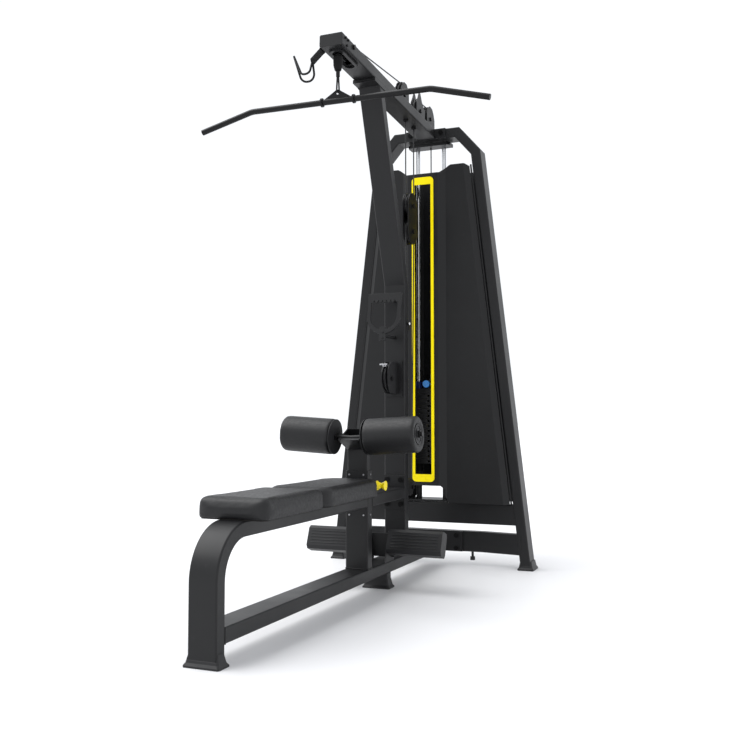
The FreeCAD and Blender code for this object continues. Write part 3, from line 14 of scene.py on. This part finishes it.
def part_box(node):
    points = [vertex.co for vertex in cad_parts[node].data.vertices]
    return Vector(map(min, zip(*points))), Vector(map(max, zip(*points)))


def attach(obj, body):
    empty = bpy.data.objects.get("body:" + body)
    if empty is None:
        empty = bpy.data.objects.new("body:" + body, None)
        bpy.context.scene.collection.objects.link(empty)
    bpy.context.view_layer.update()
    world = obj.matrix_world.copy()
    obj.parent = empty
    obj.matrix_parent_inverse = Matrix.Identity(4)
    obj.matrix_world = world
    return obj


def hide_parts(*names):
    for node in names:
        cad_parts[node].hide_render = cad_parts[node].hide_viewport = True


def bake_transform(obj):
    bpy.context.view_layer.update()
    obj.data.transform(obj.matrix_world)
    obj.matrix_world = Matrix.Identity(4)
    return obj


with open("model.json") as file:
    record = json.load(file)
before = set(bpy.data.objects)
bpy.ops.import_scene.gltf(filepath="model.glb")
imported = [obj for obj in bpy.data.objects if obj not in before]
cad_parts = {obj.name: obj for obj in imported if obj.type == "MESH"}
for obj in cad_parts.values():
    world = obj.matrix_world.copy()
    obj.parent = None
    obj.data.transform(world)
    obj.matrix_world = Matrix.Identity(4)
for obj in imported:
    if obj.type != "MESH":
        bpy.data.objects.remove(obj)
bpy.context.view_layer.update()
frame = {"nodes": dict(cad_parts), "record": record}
nodes = frame["nodes"]
scene = bpy.context.scene


# ---------------------------------------------------------------- camera, floor and light
def studio():
    """The camera, a pale floor, an even white sky and one broad sun from the front left."""
    data = bpy.data.cameras.new("camera")
    data.sensor_width = 36.0
    data.lens = 45.31
    data.clip_end = 200.0
    camera = bpy.data.objects.new("camera", data)
    camera.location = (1.5033, -3.4572, 0.7444)
    camera.rotation_euler = (math.radians(93.131), 0, math.radians(22.719))
    scene.collection.objects.link(camera)
    scene.camera = camera

    mesh = bpy.data.meshes.new("floor")
    reach = 60.0
    mesh.from_pydata([(-reach, -reach, 0), (reach, -reach, 0), (reach, reach, 0), (-reach, reach, 0)],
                     [], [(0, 1, 2, 3)])
    floor = bpy.data.objects.new("floor", mesh)
    scene.collection.objects.link(floor)
    paint = bpy.data.materials.new("floor")
    paint.use_nodes = True
    shader = paint.node_tree.nodes["Principled BSDF"]
    shader.inputs["Base Color"].default_value = (0.76, 0.76, 0.77, 1)
    shader.inputs["Roughness"].default_value = 0.55
    shader.inputs["Specular IOR Level"].default_value = 0.2
    mesh.materials.append(paint)

    world = bpy.data.worlds.new("studio")
    world.use_nodes = True
    background = world.node_tree.nodes["Background"]
    background.inputs["Color"].default_value = (0.955, 0.972, 1.0, 1)
    background.inputs["Strength"].default_value = 1.07
    scene.world = world

    sun = bpy.data.lights.new("sun_left", "SUN")
    sun.energy = 2.5
    sun.angle = math.radians(55)
    item = bpy.data.objects.new("sun_left", sun)
    item.rotation_euler = Vector((0.52, 0.16, -0.84)).to_track_quat("-Z", "Y").to_euler()
    scene.collection.objects.link(item)
    scene.view_settings.view_transform = "Standard"
    scene.view_settings.look = "None"


studio()


# ---------------------------------------------------------------- materials
class Surface:
    """A node material with a principled shader, and short names for the nodes that feed it."""

    def __init__(self, name, metallic=0.0, specular=0.5):
        self.material = bpy.data.materials.new(name)
        self.material.use_nodes = True
        self.tree = self.material.node_tree
        self.shader = self.tree.nodes["Principled BSDF"]
        self.shader.inputs["Metallic"].default_value = metallic
        self.shader.inputs["Specular IOR Level"].default_value = specular
        self.where = self.add("ShaderNodeTexCoord").outputs["Object"]
        self.bevel = None

    def add(self, kind, **values):
        node = self.tree.nodes.new(kind)
        for key, value in values.items():
            setattr(node, key, value)
        return node

    def link(self, output, target):
        self.tree.links.new(output, target)

    def noise(self, scale, detail=3.0, roughness=0.55, stretch=None):
        """Cloudy noise from 0 to 1 in object space, drawn out along the axes by stretch."""
        node = self.add("ShaderNodeTexNoise")
        node.inputs["Scale"].default_value = scale
        node.inputs["Detail"].default_value = detail
        node.inputs["Roughness"].default_value = roughness
        source = self.where
        if stretch:
            mapping = self.add("ShaderNodeMapping")
            mapping.inputs["Scale"].default_value = stretch
            self.link(self.where, mapping.inputs["Vector"])
            source = mapping.outputs["Vector"]
        self.link(source, node.inputs["Vector"])
        return node.outputs["Fac"]

    def cells(self, scale, feature="DISTANCE_TO_EDGE"):
        """Distances in a field of pebble-like cells."""
        node = self.add("ShaderNodeTexVoronoi", feature=feature)
        node.inputs["Scale"].default_value = scale
        self.link(self.where, node.inputs["Vector"])
        return node.outputs["Distance"]

    def spread(self, value, low, high, to_low=0.0, to_high=1.0):
        """Stretch the part of a value between low and high over a new range."""
        node = self.add("ShaderNodeMapRange")
        for name, number in (("From Min", low), ("From Max", high), ("To Min", to_low), ("To Max", to_high)):
            node.inputs[name].default_value = number
        self.link(value, node.inputs["Value"])
        return node.outputs["Result"]

    def mix(self, share, first, second):
        """Mix two colours by a share; each colour is a tuple or another mix."""
        node = self.add("ShaderNodeMix", data_type="RGBA")
        self.link(share, node.inputs["Factor"])
        for socket, colour in ((node.inputs[6], first), (node.inputs[7], second)):
            if isinstance(colour, tuple):
                socket.default_value = (*colour, 1.0)
            else:
                self.link(colour, socket)
        return node.outputs[2]

    def colour(self, output):
        self.link(output, self.shader.inputs["Base Color"])

    def rough(self, value, low, high):
        """Let the roughness wander between two values."""
        self.link(self.spread(value, 0.3, 0.7, low, high), self.shader.inputs["Roughness"])

    def edges(self, radius):
        """A mask that is 1 along sharp edges; the rounded normal there goes under the bumps."""
        bevel = self.add("ShaderNodeBevel")
        bevel.samples = 4
        bevel.inputs["Radius"].default_value = radius
        shape = self.add("ShaderNodeNewGeometry")
        turn = self.add("ShaderNodeVectorMath", operation="DOT_PRODUCT")
        self.link(bevel.outputs["Normal"], turn.inputs[0])
        self.link(shape.outputs["Normal"], turn.inputs[1])
        self.bevel = bevel.outputs["Normal"]
        return self.spread(turn.outputs["Value"], 0.99, 0.80)

    def bumps(self, *layers):
        """Stack bumps: (height, strength, distance) from the bottom layer up."""
        below = self.bevel
        for height, strength, distance in layers:
            bump = self.add("ShaderNodeBump")
            bump.inputs["Strength"].default_value = strength
            bump.inputs["Distance"].default_value = distance
            self.link(height, bump.inputs["Height"])
            if below is not None:
                self.link(below, bump.inputs["Normal"])
            below = bump.outputs["Normal"]
        self.link(below, self.shader.inputs["Normal"])


def powder_coat(name, dark, light, dust_and_sheen, low, high, grain=1500.0, specular=0.27):
    """Painted steel: fine orange-peel texture, cloudy gloss, and edges painted paler, partly rubbed wear and
    partly a painted highlight.
    """
    look = Surface(name, specular=specular)
    cloud = look.noise(2.4, 5.0, 0.6)
    fine = look.noise(grain, 2.0)
    dust = look.noise(38.0, 8.0, 0.72)
    body = look.mix(look.spread(cloud, 0.3, 0.7), dark, light)
    body = look.mix(look.spread(dust, 0.60, 0.86, 0.0, 0.5), body, dust_and_sheen)
    # A paler colour along sharp edges, in noisy patches: a painted highlight, partly rubbed wear.
    edge = look.edges(0.0018)
    edge_wear_and_sheen = look.add("ShaderNodeMath", operation="MULTIPLY")
    look.link(edge, edge_wear_and_sheen.inputs[0])
    look.link(look.spread(look.noise(60.0, 4.0), 0.42, 0.62, 0.15, 0.8), edge_wear_and_sheen.inputs[1])
    look.colour(look.mix(edge_wear_and_sheen.outputs["Value"], body, dust_and_sheen))
    look.rough(cloud, low, high)
    look.bumps((look.noise(180.0, 2.0), 0.10, 0.0006), (fine, 0.16, 0.0003))
    return look.material


def moulded(name, dark, light, low, high, specular=0.4):
    """Moulded plastic or rubber: faint mottling and a fine surface grain."""
    look = Surface(name, specular=specular)
    cloud = look.noise(9.0, 5.0)
    look.edges(0.0012)
    look.colour(look.mix(look.spread(cloud, 0.3, 0.7), dark, light))
    look.rough(cloud, low, high)
    look.bumps((look.noise(900.0, 3.0), 0.25, 0.0003))
    return look.material


def vinyl():
    """Upholstery vinyl: pebbled leather grain over slow waves, painted shade in the grooves between pebbles,
    patchy gloss.
    """
    look = Surface("vinyl", specular=0.36)
    wander = look.noise(3.0, 4.0)
    pebbles = look.cells(240.0)
    broad = look.cells(95.0, "SMOOTH_F1")
    body = look.mix(look.spread(wander, 0.3, 0.7), (0.0050, 0.0051, 0.0056), (0.0078, 0.0080, 0.0088))
    # Painted shade: a darker colour in the grooves between the pebbles.
    body = look.mix(look.spread(pebbles, 0.02, 0.25, 0.55, 0.0), body, (0.004, 0.004, 0.005))
    look.colour(body)
    look.rough(look.noise(120.0, 3.0), 0.40, 0.56)
    look.bumps((wander, 0.20, 0.003), (broad, 0.22, 0.0010), (pebbles, 0.38, 0.0005),
               (look.noise(1400.0, 2.0), 0.2, 0.0002))
    return look.material


def metal(name, colour, low, high, streak=None):
    """Bare metal: a faint haze, and fine scratches that streak can draw out."""
    look = Surface(name, metallic=1.0)
    haze = look.noise(14.0, 5.0)
    paler = tuple(min(1.0, channel * 1.12) for channel in colour)
    darker = tuple(channel * 0.82 for channel in colour)
    look.edges(0.0008)
    look.colour(look.mix(look.spread(haze, 0.3, 0.7), darker, paler))
    look.rough(haze, low, high)
    look.bumps((look.noise(420.0, 3.0, 0.6, streak), 0.1, 0.0002))
    return look.material


def glossy(name, dark, light, low=0.16, high=0.28, specular=0.5):
    """Smooth plastic or enamel with a faint haze and a slight wave in the surface."""
    look = Surface(name, specular=specular)
    haze = look.noise(11.0, 4.0)
    look.edges(0.0012)
    look.colour(look.mix(look.spread(haze, 0.3, 0.7), dark, light))
    look.rough(haze, low, high)
    look.bumps((look.noise(260.0, 2.0), 0.06, 0.0004))
    return look.material


def cast_plates():
    """Weight plates: painted iron with a pebbled cast face."""
    look = Surface("weight_iron", specular=0.42)
    lumps = look.cells(210.0, "SMOOTH_F1")
    cloud = look.noise(5.0, 5.0)
    edge = look.edges(0.0016)
    body = look.mix(look.spread(cloud, 0.3, 0.7), (0.0070, 0.0070, 0.0078), (0.0130, 0.0130, 0.0145))
    # A paler colour along sharp edges: a painted highlight.
    look.colour(look.mix(look.spread(edge, 0.0, 1.0, 0.0, 0.45), body, (0.05, 0.05, 0.053)))
    look.rough(cloud, 0.45, 0.62)
    look.bumps((lumps, 0.5, 0.0014), (look.noise(700.0, 2.0), 0.2, 0.0003))
    return look.material


def plywood():
    """The seat boards: plywood with a black stain, so only the grain catches the light."""
    look = Surface("plywood", specular=0.25)
    grain = look.noise(7.0, 8.0, 0.65, (2.0, 22.0, 60.0))
    look.colour(look.mix(look.spread(grain, 0.35, 0.68), (0.0060, 0.0055, 0.0050), (0.0140, 0.0125, 0.0110)))
    look.rough(grain, 0.62, 0.8)
    look.bumps((grain, 0.3, 0.0008))
    return look.material


MATERIALS = {
    # In each powder coat the third colour is used for dust patches and for the painted highlight along the
    # edges.
    "frame_paint": powder_coat("frame_paint", (0.0090, 0.0091, 0.0097), (0.0120, 0.0122, 0.0130),
                               (0.034, 0.034, 0.036), 0.34, 0.48),
    "cover_paint": powder_coat("cover_paint", (0.0078, 0.0079, 0.0084), (0.0102, 0.0104, 0.0110),
                               (0.028, 0.028, 0.030), 0.40, 0.54, 1100.0),
    "trim_yellow": glossy("trim_yellow", (0.90, 0.73, 0.002), (0.97, 0.80, 0.004), 0.24, 0.36, 0.16),
    "chrome": metal("chrome", (0.70, 0.71, 0.73), 0.08, 0.20, (1.0, 1.0, 0.04)),
    "black_steel": powder_coat("black_steel", (0.0046, 0.0046, 0.0049), (0.0066, 0.0066, 0.0071),
                               (0.034, 0.034, 0.036), 0.30, 0.42, 2200.0, 0.21),
    "weight_iron": cast_plates(),
    "rubber": moulded("rubber", (0.0030, 0.0030, 0.0032), (0.0055, 0.0055, 0.0059), 0.55, 0.72, 0.18),
    "pulley_nylon": moulded("pulley_nylon", (0.0045, 0.0045, 0.0050), (0.0085, 0.0085, 0.0093),
                            0.34, 0.48, 0.28),
    "black_plastic": moulded("black_plastic", (0.0090, 0.0090, 0.0098), (0.0145, 0.0147, 0.0162),
                             0.42, 0.58, 0.36),
    "cable_cover": glossy("cable_cover", (0.0040, 0.0040, 0.0044), (0.0070, 0.0070, 0.0078), 0.26, 0.38),
    "vinyl": vinyl(),
    "plywood": plywood(),
    "blue_plastic": glossy("blue_plastic", (0.012, 0.185, 0.560), (0.018, 0.220, 0.640)),
    "bush_blue": moulded("bush_blue", (0.010, 0.022, 0.120), (0.016, 0.034, 0.170), 0.30, 0.42),
    "knob_yellow": glossy("knob_yellow", (0.93, 0.72, 0.004), (0.99, 0.80, 0.008), 0.18, 0.28, 0.35),
    "black_oxide": moulded("black_oxide", (0.0018, 0.0018, 0.0020), (0.0034, 0.0034, 0.0037),
                           0.36, 0.50, 0.12),
    "satin_zinc": metal("satin_zinc", (0.36, 0.36, 0.375), 0.30, 0.44),
}


def dress(item, slot):
    item.data.materials.clear()
    item.data.materials.append(MATERIALS[slot])


def dress_cad_nodes():
    """Every CAD node takes its record's slot, apart from small hardware with its own finish."""
    slots = {part["node"]: part["material_slot"] for part in frame["record"]["subparts"]}
    slots.update(frame_bolts="black_oxide", sleeve_hardware="satin_zinc", row_cable_stop="satin_zinc")
    for name, item in nodes.items():
        for place in item.material_slots:
            place.material = MATERIALS[slots[name]]
        if not item.material_slots:
            dress(item, slots[name])


dress_cad_nodes()


# ---------------------------------------------------------------- helpers for new pieces
def new_piece(name, mesh, slot, body):
    """Add a mesh as a piece that rides on a CAD body and takes a slot's finish."""
    item = bpy.data.objects.new(name, mesh)
    scene.collection.objects.link(item)
    dress(item, slot)
    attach(item, body)


def smooth(mesh, angle=35.0):
    """Shade a mesh smooth, apart from edges sharper than an angle in degrees."""
    mesh.polygons.foreach_set("use_smooth", [True] * len(mesh.polygons))
    mesh.set_sharp_from_angle(angle=math.radians(angle))


def tube_mesh(name, centres, radius, sides, closed=False):
    """A tube along centres, open with flat ends or closed on itself; radius is one number or a list."""
    centres = [Vector(point) for point in centres]
    count = len(centres)
    radii = [radius] * count if isinstance(radius, float) else radius
    built = bmesh.new()
    rings = []
    across = None
    for index, centre in enumerate(centres):
        if closed:
            run = centres[(index + 1) % count] - centres[index - 1]
        else:
            run = centres[min(index + 1, count - 1)] - centres[max(index - 1, 0)]
        run.normalize()
        if across is None:
            across = run.orthogonal().normalized()
        across = (across - run * across.dot(run)).normalized()
        beside = run.cross(across)
        ring = []
        for step in range(sides):
            angle = 2 * math.pi * step / sides
            offset = across * math.cos(angle) + beside * math.sin(angle)
            ring.append(built.verts.new(centre + offset * radii[index]))
        rings.append(ring)
    pairs = list(zip(rings, rings[1:])) + ([(rings[-1], rings[0])] if closed else [])
    for first, second in pairs:
        for step in range(sides):
            after = (step + 1) % sides
            built.faces.new((first[step], first[after], second[after], second[step]))
    if not closed:
        built.faces.new(list(reversed(rings[0])))
        built.faces.new(rings[-1])
    bmesh.ops.recalc_face_normals(built, faces=built.faces)
    mesh = bpy.data.meshes.new(name)
    built.to_mesh(mesh)
    built.free()
    smooth(mesh, 60)
    return mesh


def apply_modifiers(item):
    """Fix the result of an item's modifiers into its mesh."""
    graph = bpy.context.evaluated_depsgraph_get()
    done = bpy.data.meshes.new_from_object(item.evaluated_get(graph))
    item.modifiers.clear()
    item.data = done


# ---------------------------------------------------------------- padded pieces
CLOTH_FRAMES = 20


def relax(item, passes):
    """Even a mesh out, by half a step for each pass."""
    even = item.modifiers.new("even", "SMOOTH")
    even.factor = 0.5
    even.iterations = passes
    apply_modifiers(item)


def stuffed(name, node, body, hold, cap, shrink, voxel):
    """A foam pad grown from its CAD solid: shrunk a little, remeshed, blown up as cloth, then smoothed.

    No point moves further than cap in the cloth step. hold(point) says whether a point is fixed,
    where the pad rests on its board or core.
    """
    low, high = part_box(node)
    middle = (low + high) / 2
    extent = high - low
    mesh = nodes[node].data.copy()
    mesh.name = name
    scale = Matrix.Diagonal([1 - 2 * shrink / side for side in extent]).to_4x4()
    mesh.transform(Matrix.Translation(middle) @ scale @ Matrix.Translation(-middle))
    item = bpy.data.objects.new(name, mesh)
    scene.collection.objects.link(item)
    remesh = item.modifiers.new("remesh", "REMESH")
    remesh.mode = "VOXEL"
    remesh.voxel_size = voxel
    remesh.use_smooth_shade = True
    relax(item, passes=4)
    rest = [vertex.co.copy() for vertex in item.data.vertices]
    pins = item.vertex_groups.new(name="pins")
    pins.add([index for index, point in enumerate(rest) if hold(point)], 1.0, "REPLACE")
    cloth = item.modifiers.new("cloth", "CLOTH")
    settings = cloth.settings
    settings.use_pressure = True
    settings.uniform_pressure_force = 3.0
    settings.effector_weights.gravity = 0.0
    settings.vertex_group_mass = "pins"
    settings.quality = 4
    settings.tension_stiffness = 25
    settings.compression_stiffness = 25
    settings.bending_stiffness = 6.0
    cloth.point_cache.frame_start = 1
    cloth.point_cache.frame_end = CLOTH_FRAMES
    for step in range(1, CLOTH_FRAMES + 1):
        scene.frame_set(step)
    graph = bpy.context.evaluated_depsgraph_get()
    blown = [vertex.co.copy() for vertex in item.evaluated_get(graph).data.vertices]
    item.modifiers.clear()
    scene.frame_set(1)
    for vertex, start, end in zip(item.data.vertices, rest, blown):
        move = end - start
        if move.length > cap:
            move *= cap / move.length
        vertex.co = start + move
    relax(item, passes=14)
    finer = item.modifiers.new("finer", "SUBSURF")
    finer.levels = 1
    finer.render_levels = 1
    apply_modifiers(item)
    item.vertex_groups.clear()
    for vertex in item.data.vertices:
        for axis in range(3):
            vertex.co[axis] = min(max(vertex.co[axis], low[axis]), high[axis])
    smooth(item.data, 80)
    dress(item, "vinyl")
    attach(item, body)
    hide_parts(node)
    return item


def cushions():
    """The two seat pads: pinned along the lower rim, which is then drawn down onto the rail."""
    rim = 0.016
    slack = 0.0045
    for name, node in (("front_cushion", "seat_pad_front"), ("rear_cushion", "seat_pad_rear")):
        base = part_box(node)[0].z

        def lower_rim(point, base=base):
            return point.z < base + rim
        pad = stuffed(name, node, "frame", lower_rim, cap=0.0035, shrink=0.002, voxel=0.0055)
        for vertex in pad.data.vertices:
            above = vertex.co.z - base
            if above < rim:
                vertex.co.z = base + max(0.0, (above - slack) * rim / (rim - slack))


def rollers():
    """The two foam rollers, pinned round their cores."""
    held = 0.055
    for side, node in (("left", "left_roller"), ("right", "right_roller")):
        low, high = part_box(node)
        middle = (low + high) / 2

        def core(point, middle=middle):
            return math.hypot(point.y - middle.y, point.z - middle.z) < held
        stuffed(f"{side}_roller_pad", node, f"{side}_knee_roller", core,
                cap=0.003, shrink=0.0015, voxel=0.005)


cushions()
rollers()


# ---------------------------------------------------------------- cable strands
def strand(name, node):
    """A straight vertical cable between the frame and a moving body, drawn as a tube of rings from the CAD
    cable's top to its bottom.
    """
    low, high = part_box(node)
    middle = (low + high) / 2
    radius = (high.x - low.x) / 2
    rows = 24
    centres = [(middle.x, middle.y, high.z + (low.z - high.z) * row / rows) for row in range(rows + 1)]
    item = bpy.data.objects.new(name, tube_mesh(name, centres, radius, 16))
    scene.collection.objects.link(item)
    dress(item, "cable_cover")
    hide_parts(node)
    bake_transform(item)


strand("bar_strand", "bar_cable")
strand("stack_strand", "stack_cable")


# ---------------------------------------------------------------- pulley ribs
def pulley_ribs(node):
    """Six moulded ribs on each face of a pulley, between its hub and its rim."""
    low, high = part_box(node)
    middle = (low + high) / 2
    radius = (high.z - low.z) / 2
    half = (high.x - low.x) / 2
    count = 6
    thick = 0.0035
    root, crest = 0.0043, half - 0.0019
    near, far = 0.0205, radius - 0.0130
    sizes = Matrix.Diagonal((crest - root, thick, far - near, 1))
    built = bmesh.new()
    for step in range(count):
        turn = Matrix.Translation(middle) @ Matrix.Rotation(2 * math.pi * step / count, 4, "X")
        for side in (-1, 1):
            at = Matrix.Translation((side * (root + crest) / 2, 0, (near + far) / 2))
            bmesh.ops.create_cube(built, size=1.0, matrix=turn @ at @ sizes)
    bmesh.ops.bevel(built, geom=list(built.edges), offset=0.0007, segments=2, affect="EDGES")
    mesh = bpy.data.meshes.new(f"{node}_ribs")
    built.to_mesh(mesh)
    built.free()
    smooth(mesh)
    new_piece(f"{node}_ribs", mesh, "pulley_nylon", f"turning_{node}")


for pulley in ("head_pulley", "first_tower_pulley", "block_upper_pulley", "second_tower_pulley",
               "third_tower_pulley", "block_lower_pulley", "low_pulley", "mast_pulley", "exit_pulley"):
    pulley_ribs(pulley)


# ---------------------------------------------------------------- weld beads
def bead(name, corners):
    """A rippled weld bead right round some corners."""
    radius = 0.0032
    ripple = 0.13
    pitch = 0.0024
    centres, radii = [], []
    for first, second in zip(corners, corners[1:] + corners[:1]):
        steps = max(2, int((second - first).length / pitch))
        for step in range(steps):
            centres.append(first.lerp(second, step / steps))
            radii.append(radius * (1.0 + ripple * math.sin(step * 1.9)))
    new_piece(name, tube_mesh(name, centres, radii, 8, closed=True), "frame_paint", "frame")


def ring(node, axis):
    """The four corners of a node's box at its low end along an axis, drawn in a little."""
    inset = 0.0015
    low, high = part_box(node)
    at = low[axis] + inset
    first, second = [index for index in range(3) if index != axis]
    corners = []
    for a, b in ((low, low), (high, low), (high, high), (low, high)):
        corner = Vector((at, at, at))
        corner[first] = a[first] + (inset if a is low else -inset)
        corner[second] = b[second] + (inset if b is low else -inset)
        corners.append(corner)
    return corners


for weld, node, axis in (("weld_beam_front", "base_beam", 1), ("weld_post_foot", "rear_post", 2),
                         ("weld_link_front", "bench_link", 1)):
    bead(weld, ring(node, axis))


# ---------------------------------------------------------------- foot ribs, bolt, seals and mast head
def joined(name, meshes, slot, body):
    """One piece made of several meshes."""
    built = bmesh.new()
    for mesh in meshes:
        built.from_mesh(mesh)
    mesh = bpy.data.meshes.new(name)
    built.to_mesh(mesh)
    built.free()
    smooth(mesh, 60)
    new_piece(name, mesh, slot, body)


def foot_ribs():
    """Moulded grip ribs along the tilted front faces of the two footplates."""
    low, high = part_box("footplates")
    tilt = math.radians(21)
    up = Vector((0, math.sin(tilt), math.cos(tilt)))
    out = Vector((0, -math.cos(tilt), math.sin(tilt)))
    inner = 0.066
    margin = 0.016
    face_low = 0.0331
    proud = 0.0004
    count = 5
    first_rise = 0.012
    pitch = 0.013
    thick = 0.0019
    tip = 0.0006
    foot = Vector((0, low.y, low.z + face_low)) + out * proud
    for name, first, last in (("left_foot_ribs", low.x, -inner), ("right_foot_ribs", inner, high.x)):
        ribs = []
        for index in range(count):
            level = foot + up * (first_rise + pitch * index)
            runs = [level + Vector((x, 0, 0)) for x in (first + margin, last - margin)]
            taper = [runs[0].lerp(runs[1], share) for share in (0, 0.008, 0.5, 0.992, 1)]
            ribs.append(tube_mesh(name, taper, [tip, thick, thick, thick, tip], 10))
        joined(name, ribs, "black_plastic", "frame")


foot_ribs()


def anchor_bolt():
    """The bright dome-headed bolt that holds the row cable's anchor in the mast."""
    sunk = 0.001
    inside_rear_face = 0.017
    rise = 1.166
    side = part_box("row_pulley_brackets")[1].x - sunk
    place = Vector((side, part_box("mast")[1].y - inside_rear_face, rise))
    profile = [(0.0, 0.0075), (0.0015, 0.0075), (0.0035, 0.0066), (0.0050, 0.0045), (0.0056, 0.0012)]
    centres = [place + Vector((along, 0, 0)) for along, radius in profile]
    head = tube_mesh("anchor_bolt", centres, [radius for along, radius in profile], 28)
    new_piece("anchor_bolt", head, "chrome", "frame")


anchor_bolt()


def edge_seals():
    """The soft strips that close the slits between the front cover's edges and the tower's legs."""
    low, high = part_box("front_shroud")
    lean = 0.1142
    beside = 0.0055
    behind = 0.0048
    rise = 1.688
    radius = 0.0045
    count = 24
    for name, sign in (("left_edge_seal", -1), ("right_edge_seal", 1)):
        foot = Vector((sign * (high.x + beside), high.y + behind, low.z))
        head = foot + Vector((-sign * lean * rise, 0, rise))
        steps = [foot.lerp(head, index / count) for index in range(count + 1)]
        new_piece(name, tube_mesh(name, steps, radius, 12), "cover_paint", "frame")


edge_seals()


def mast_head():
    """A mitred stub from the CAD mast's square end to the beam's flange.

    The CAD mast stops short there. The stub only closes the gap to the eye; the CAD has no such part.
    """
    low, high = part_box("mast")
    lean = math.radians(20.2)
    deep = 0.050
    front_run = 0.0303
    rear_run = 0.0091
    edge_radius = 0.006
    up = Vector((0, -math.sin(lean), math.cos(lean)))
    front = Vector((0, low.y, high.z - deep * math.sin(lean)))
    rear = Vector((0, low.y + deep * math.cos(lean), high.z))
    section = [(low.x, front, front_run), (high.x, front, front_run),
               (high.x, rear, rear_run), (low.x, rear, rear_run)]
    built = bmesh.new()
    foot = [built.verts.new(point + Vector((x, 0, 0))) for x, point, run in section]
    head = [built.verts.new(point + Vector((x, 0, 0)) + up * run) for x, point, run in section]
    sides = [built.edges.new(pair) for pair in zip(foot, head)]
    for index in range(4):
        after = (index + 1) % 4
        built.faces.new((foot[index], foot[after], head[after], head[index]))
    built.faces.new(list(reversed(foot)))
    built.faces.new(head)
    rim = [vertex.co.copy() for vertex in head]
    bmesh.ops.bevel(built, geom=sides, offset=edge_radius, segments=4, affect="EDGES", profile=0.5)
    mesh = bpy.data.meshes.new("mast_head")
    built.to_mesh(mesh)
    built.free()
    smooth(mesh)
    new_piece("mast_head", mesh, "frame_paint", "frame")
    bead("weld_mast_head", rim)


mast_head()


def corners(pair):
    return [[round(float(value), 5) for value in corner] for corner in pair]
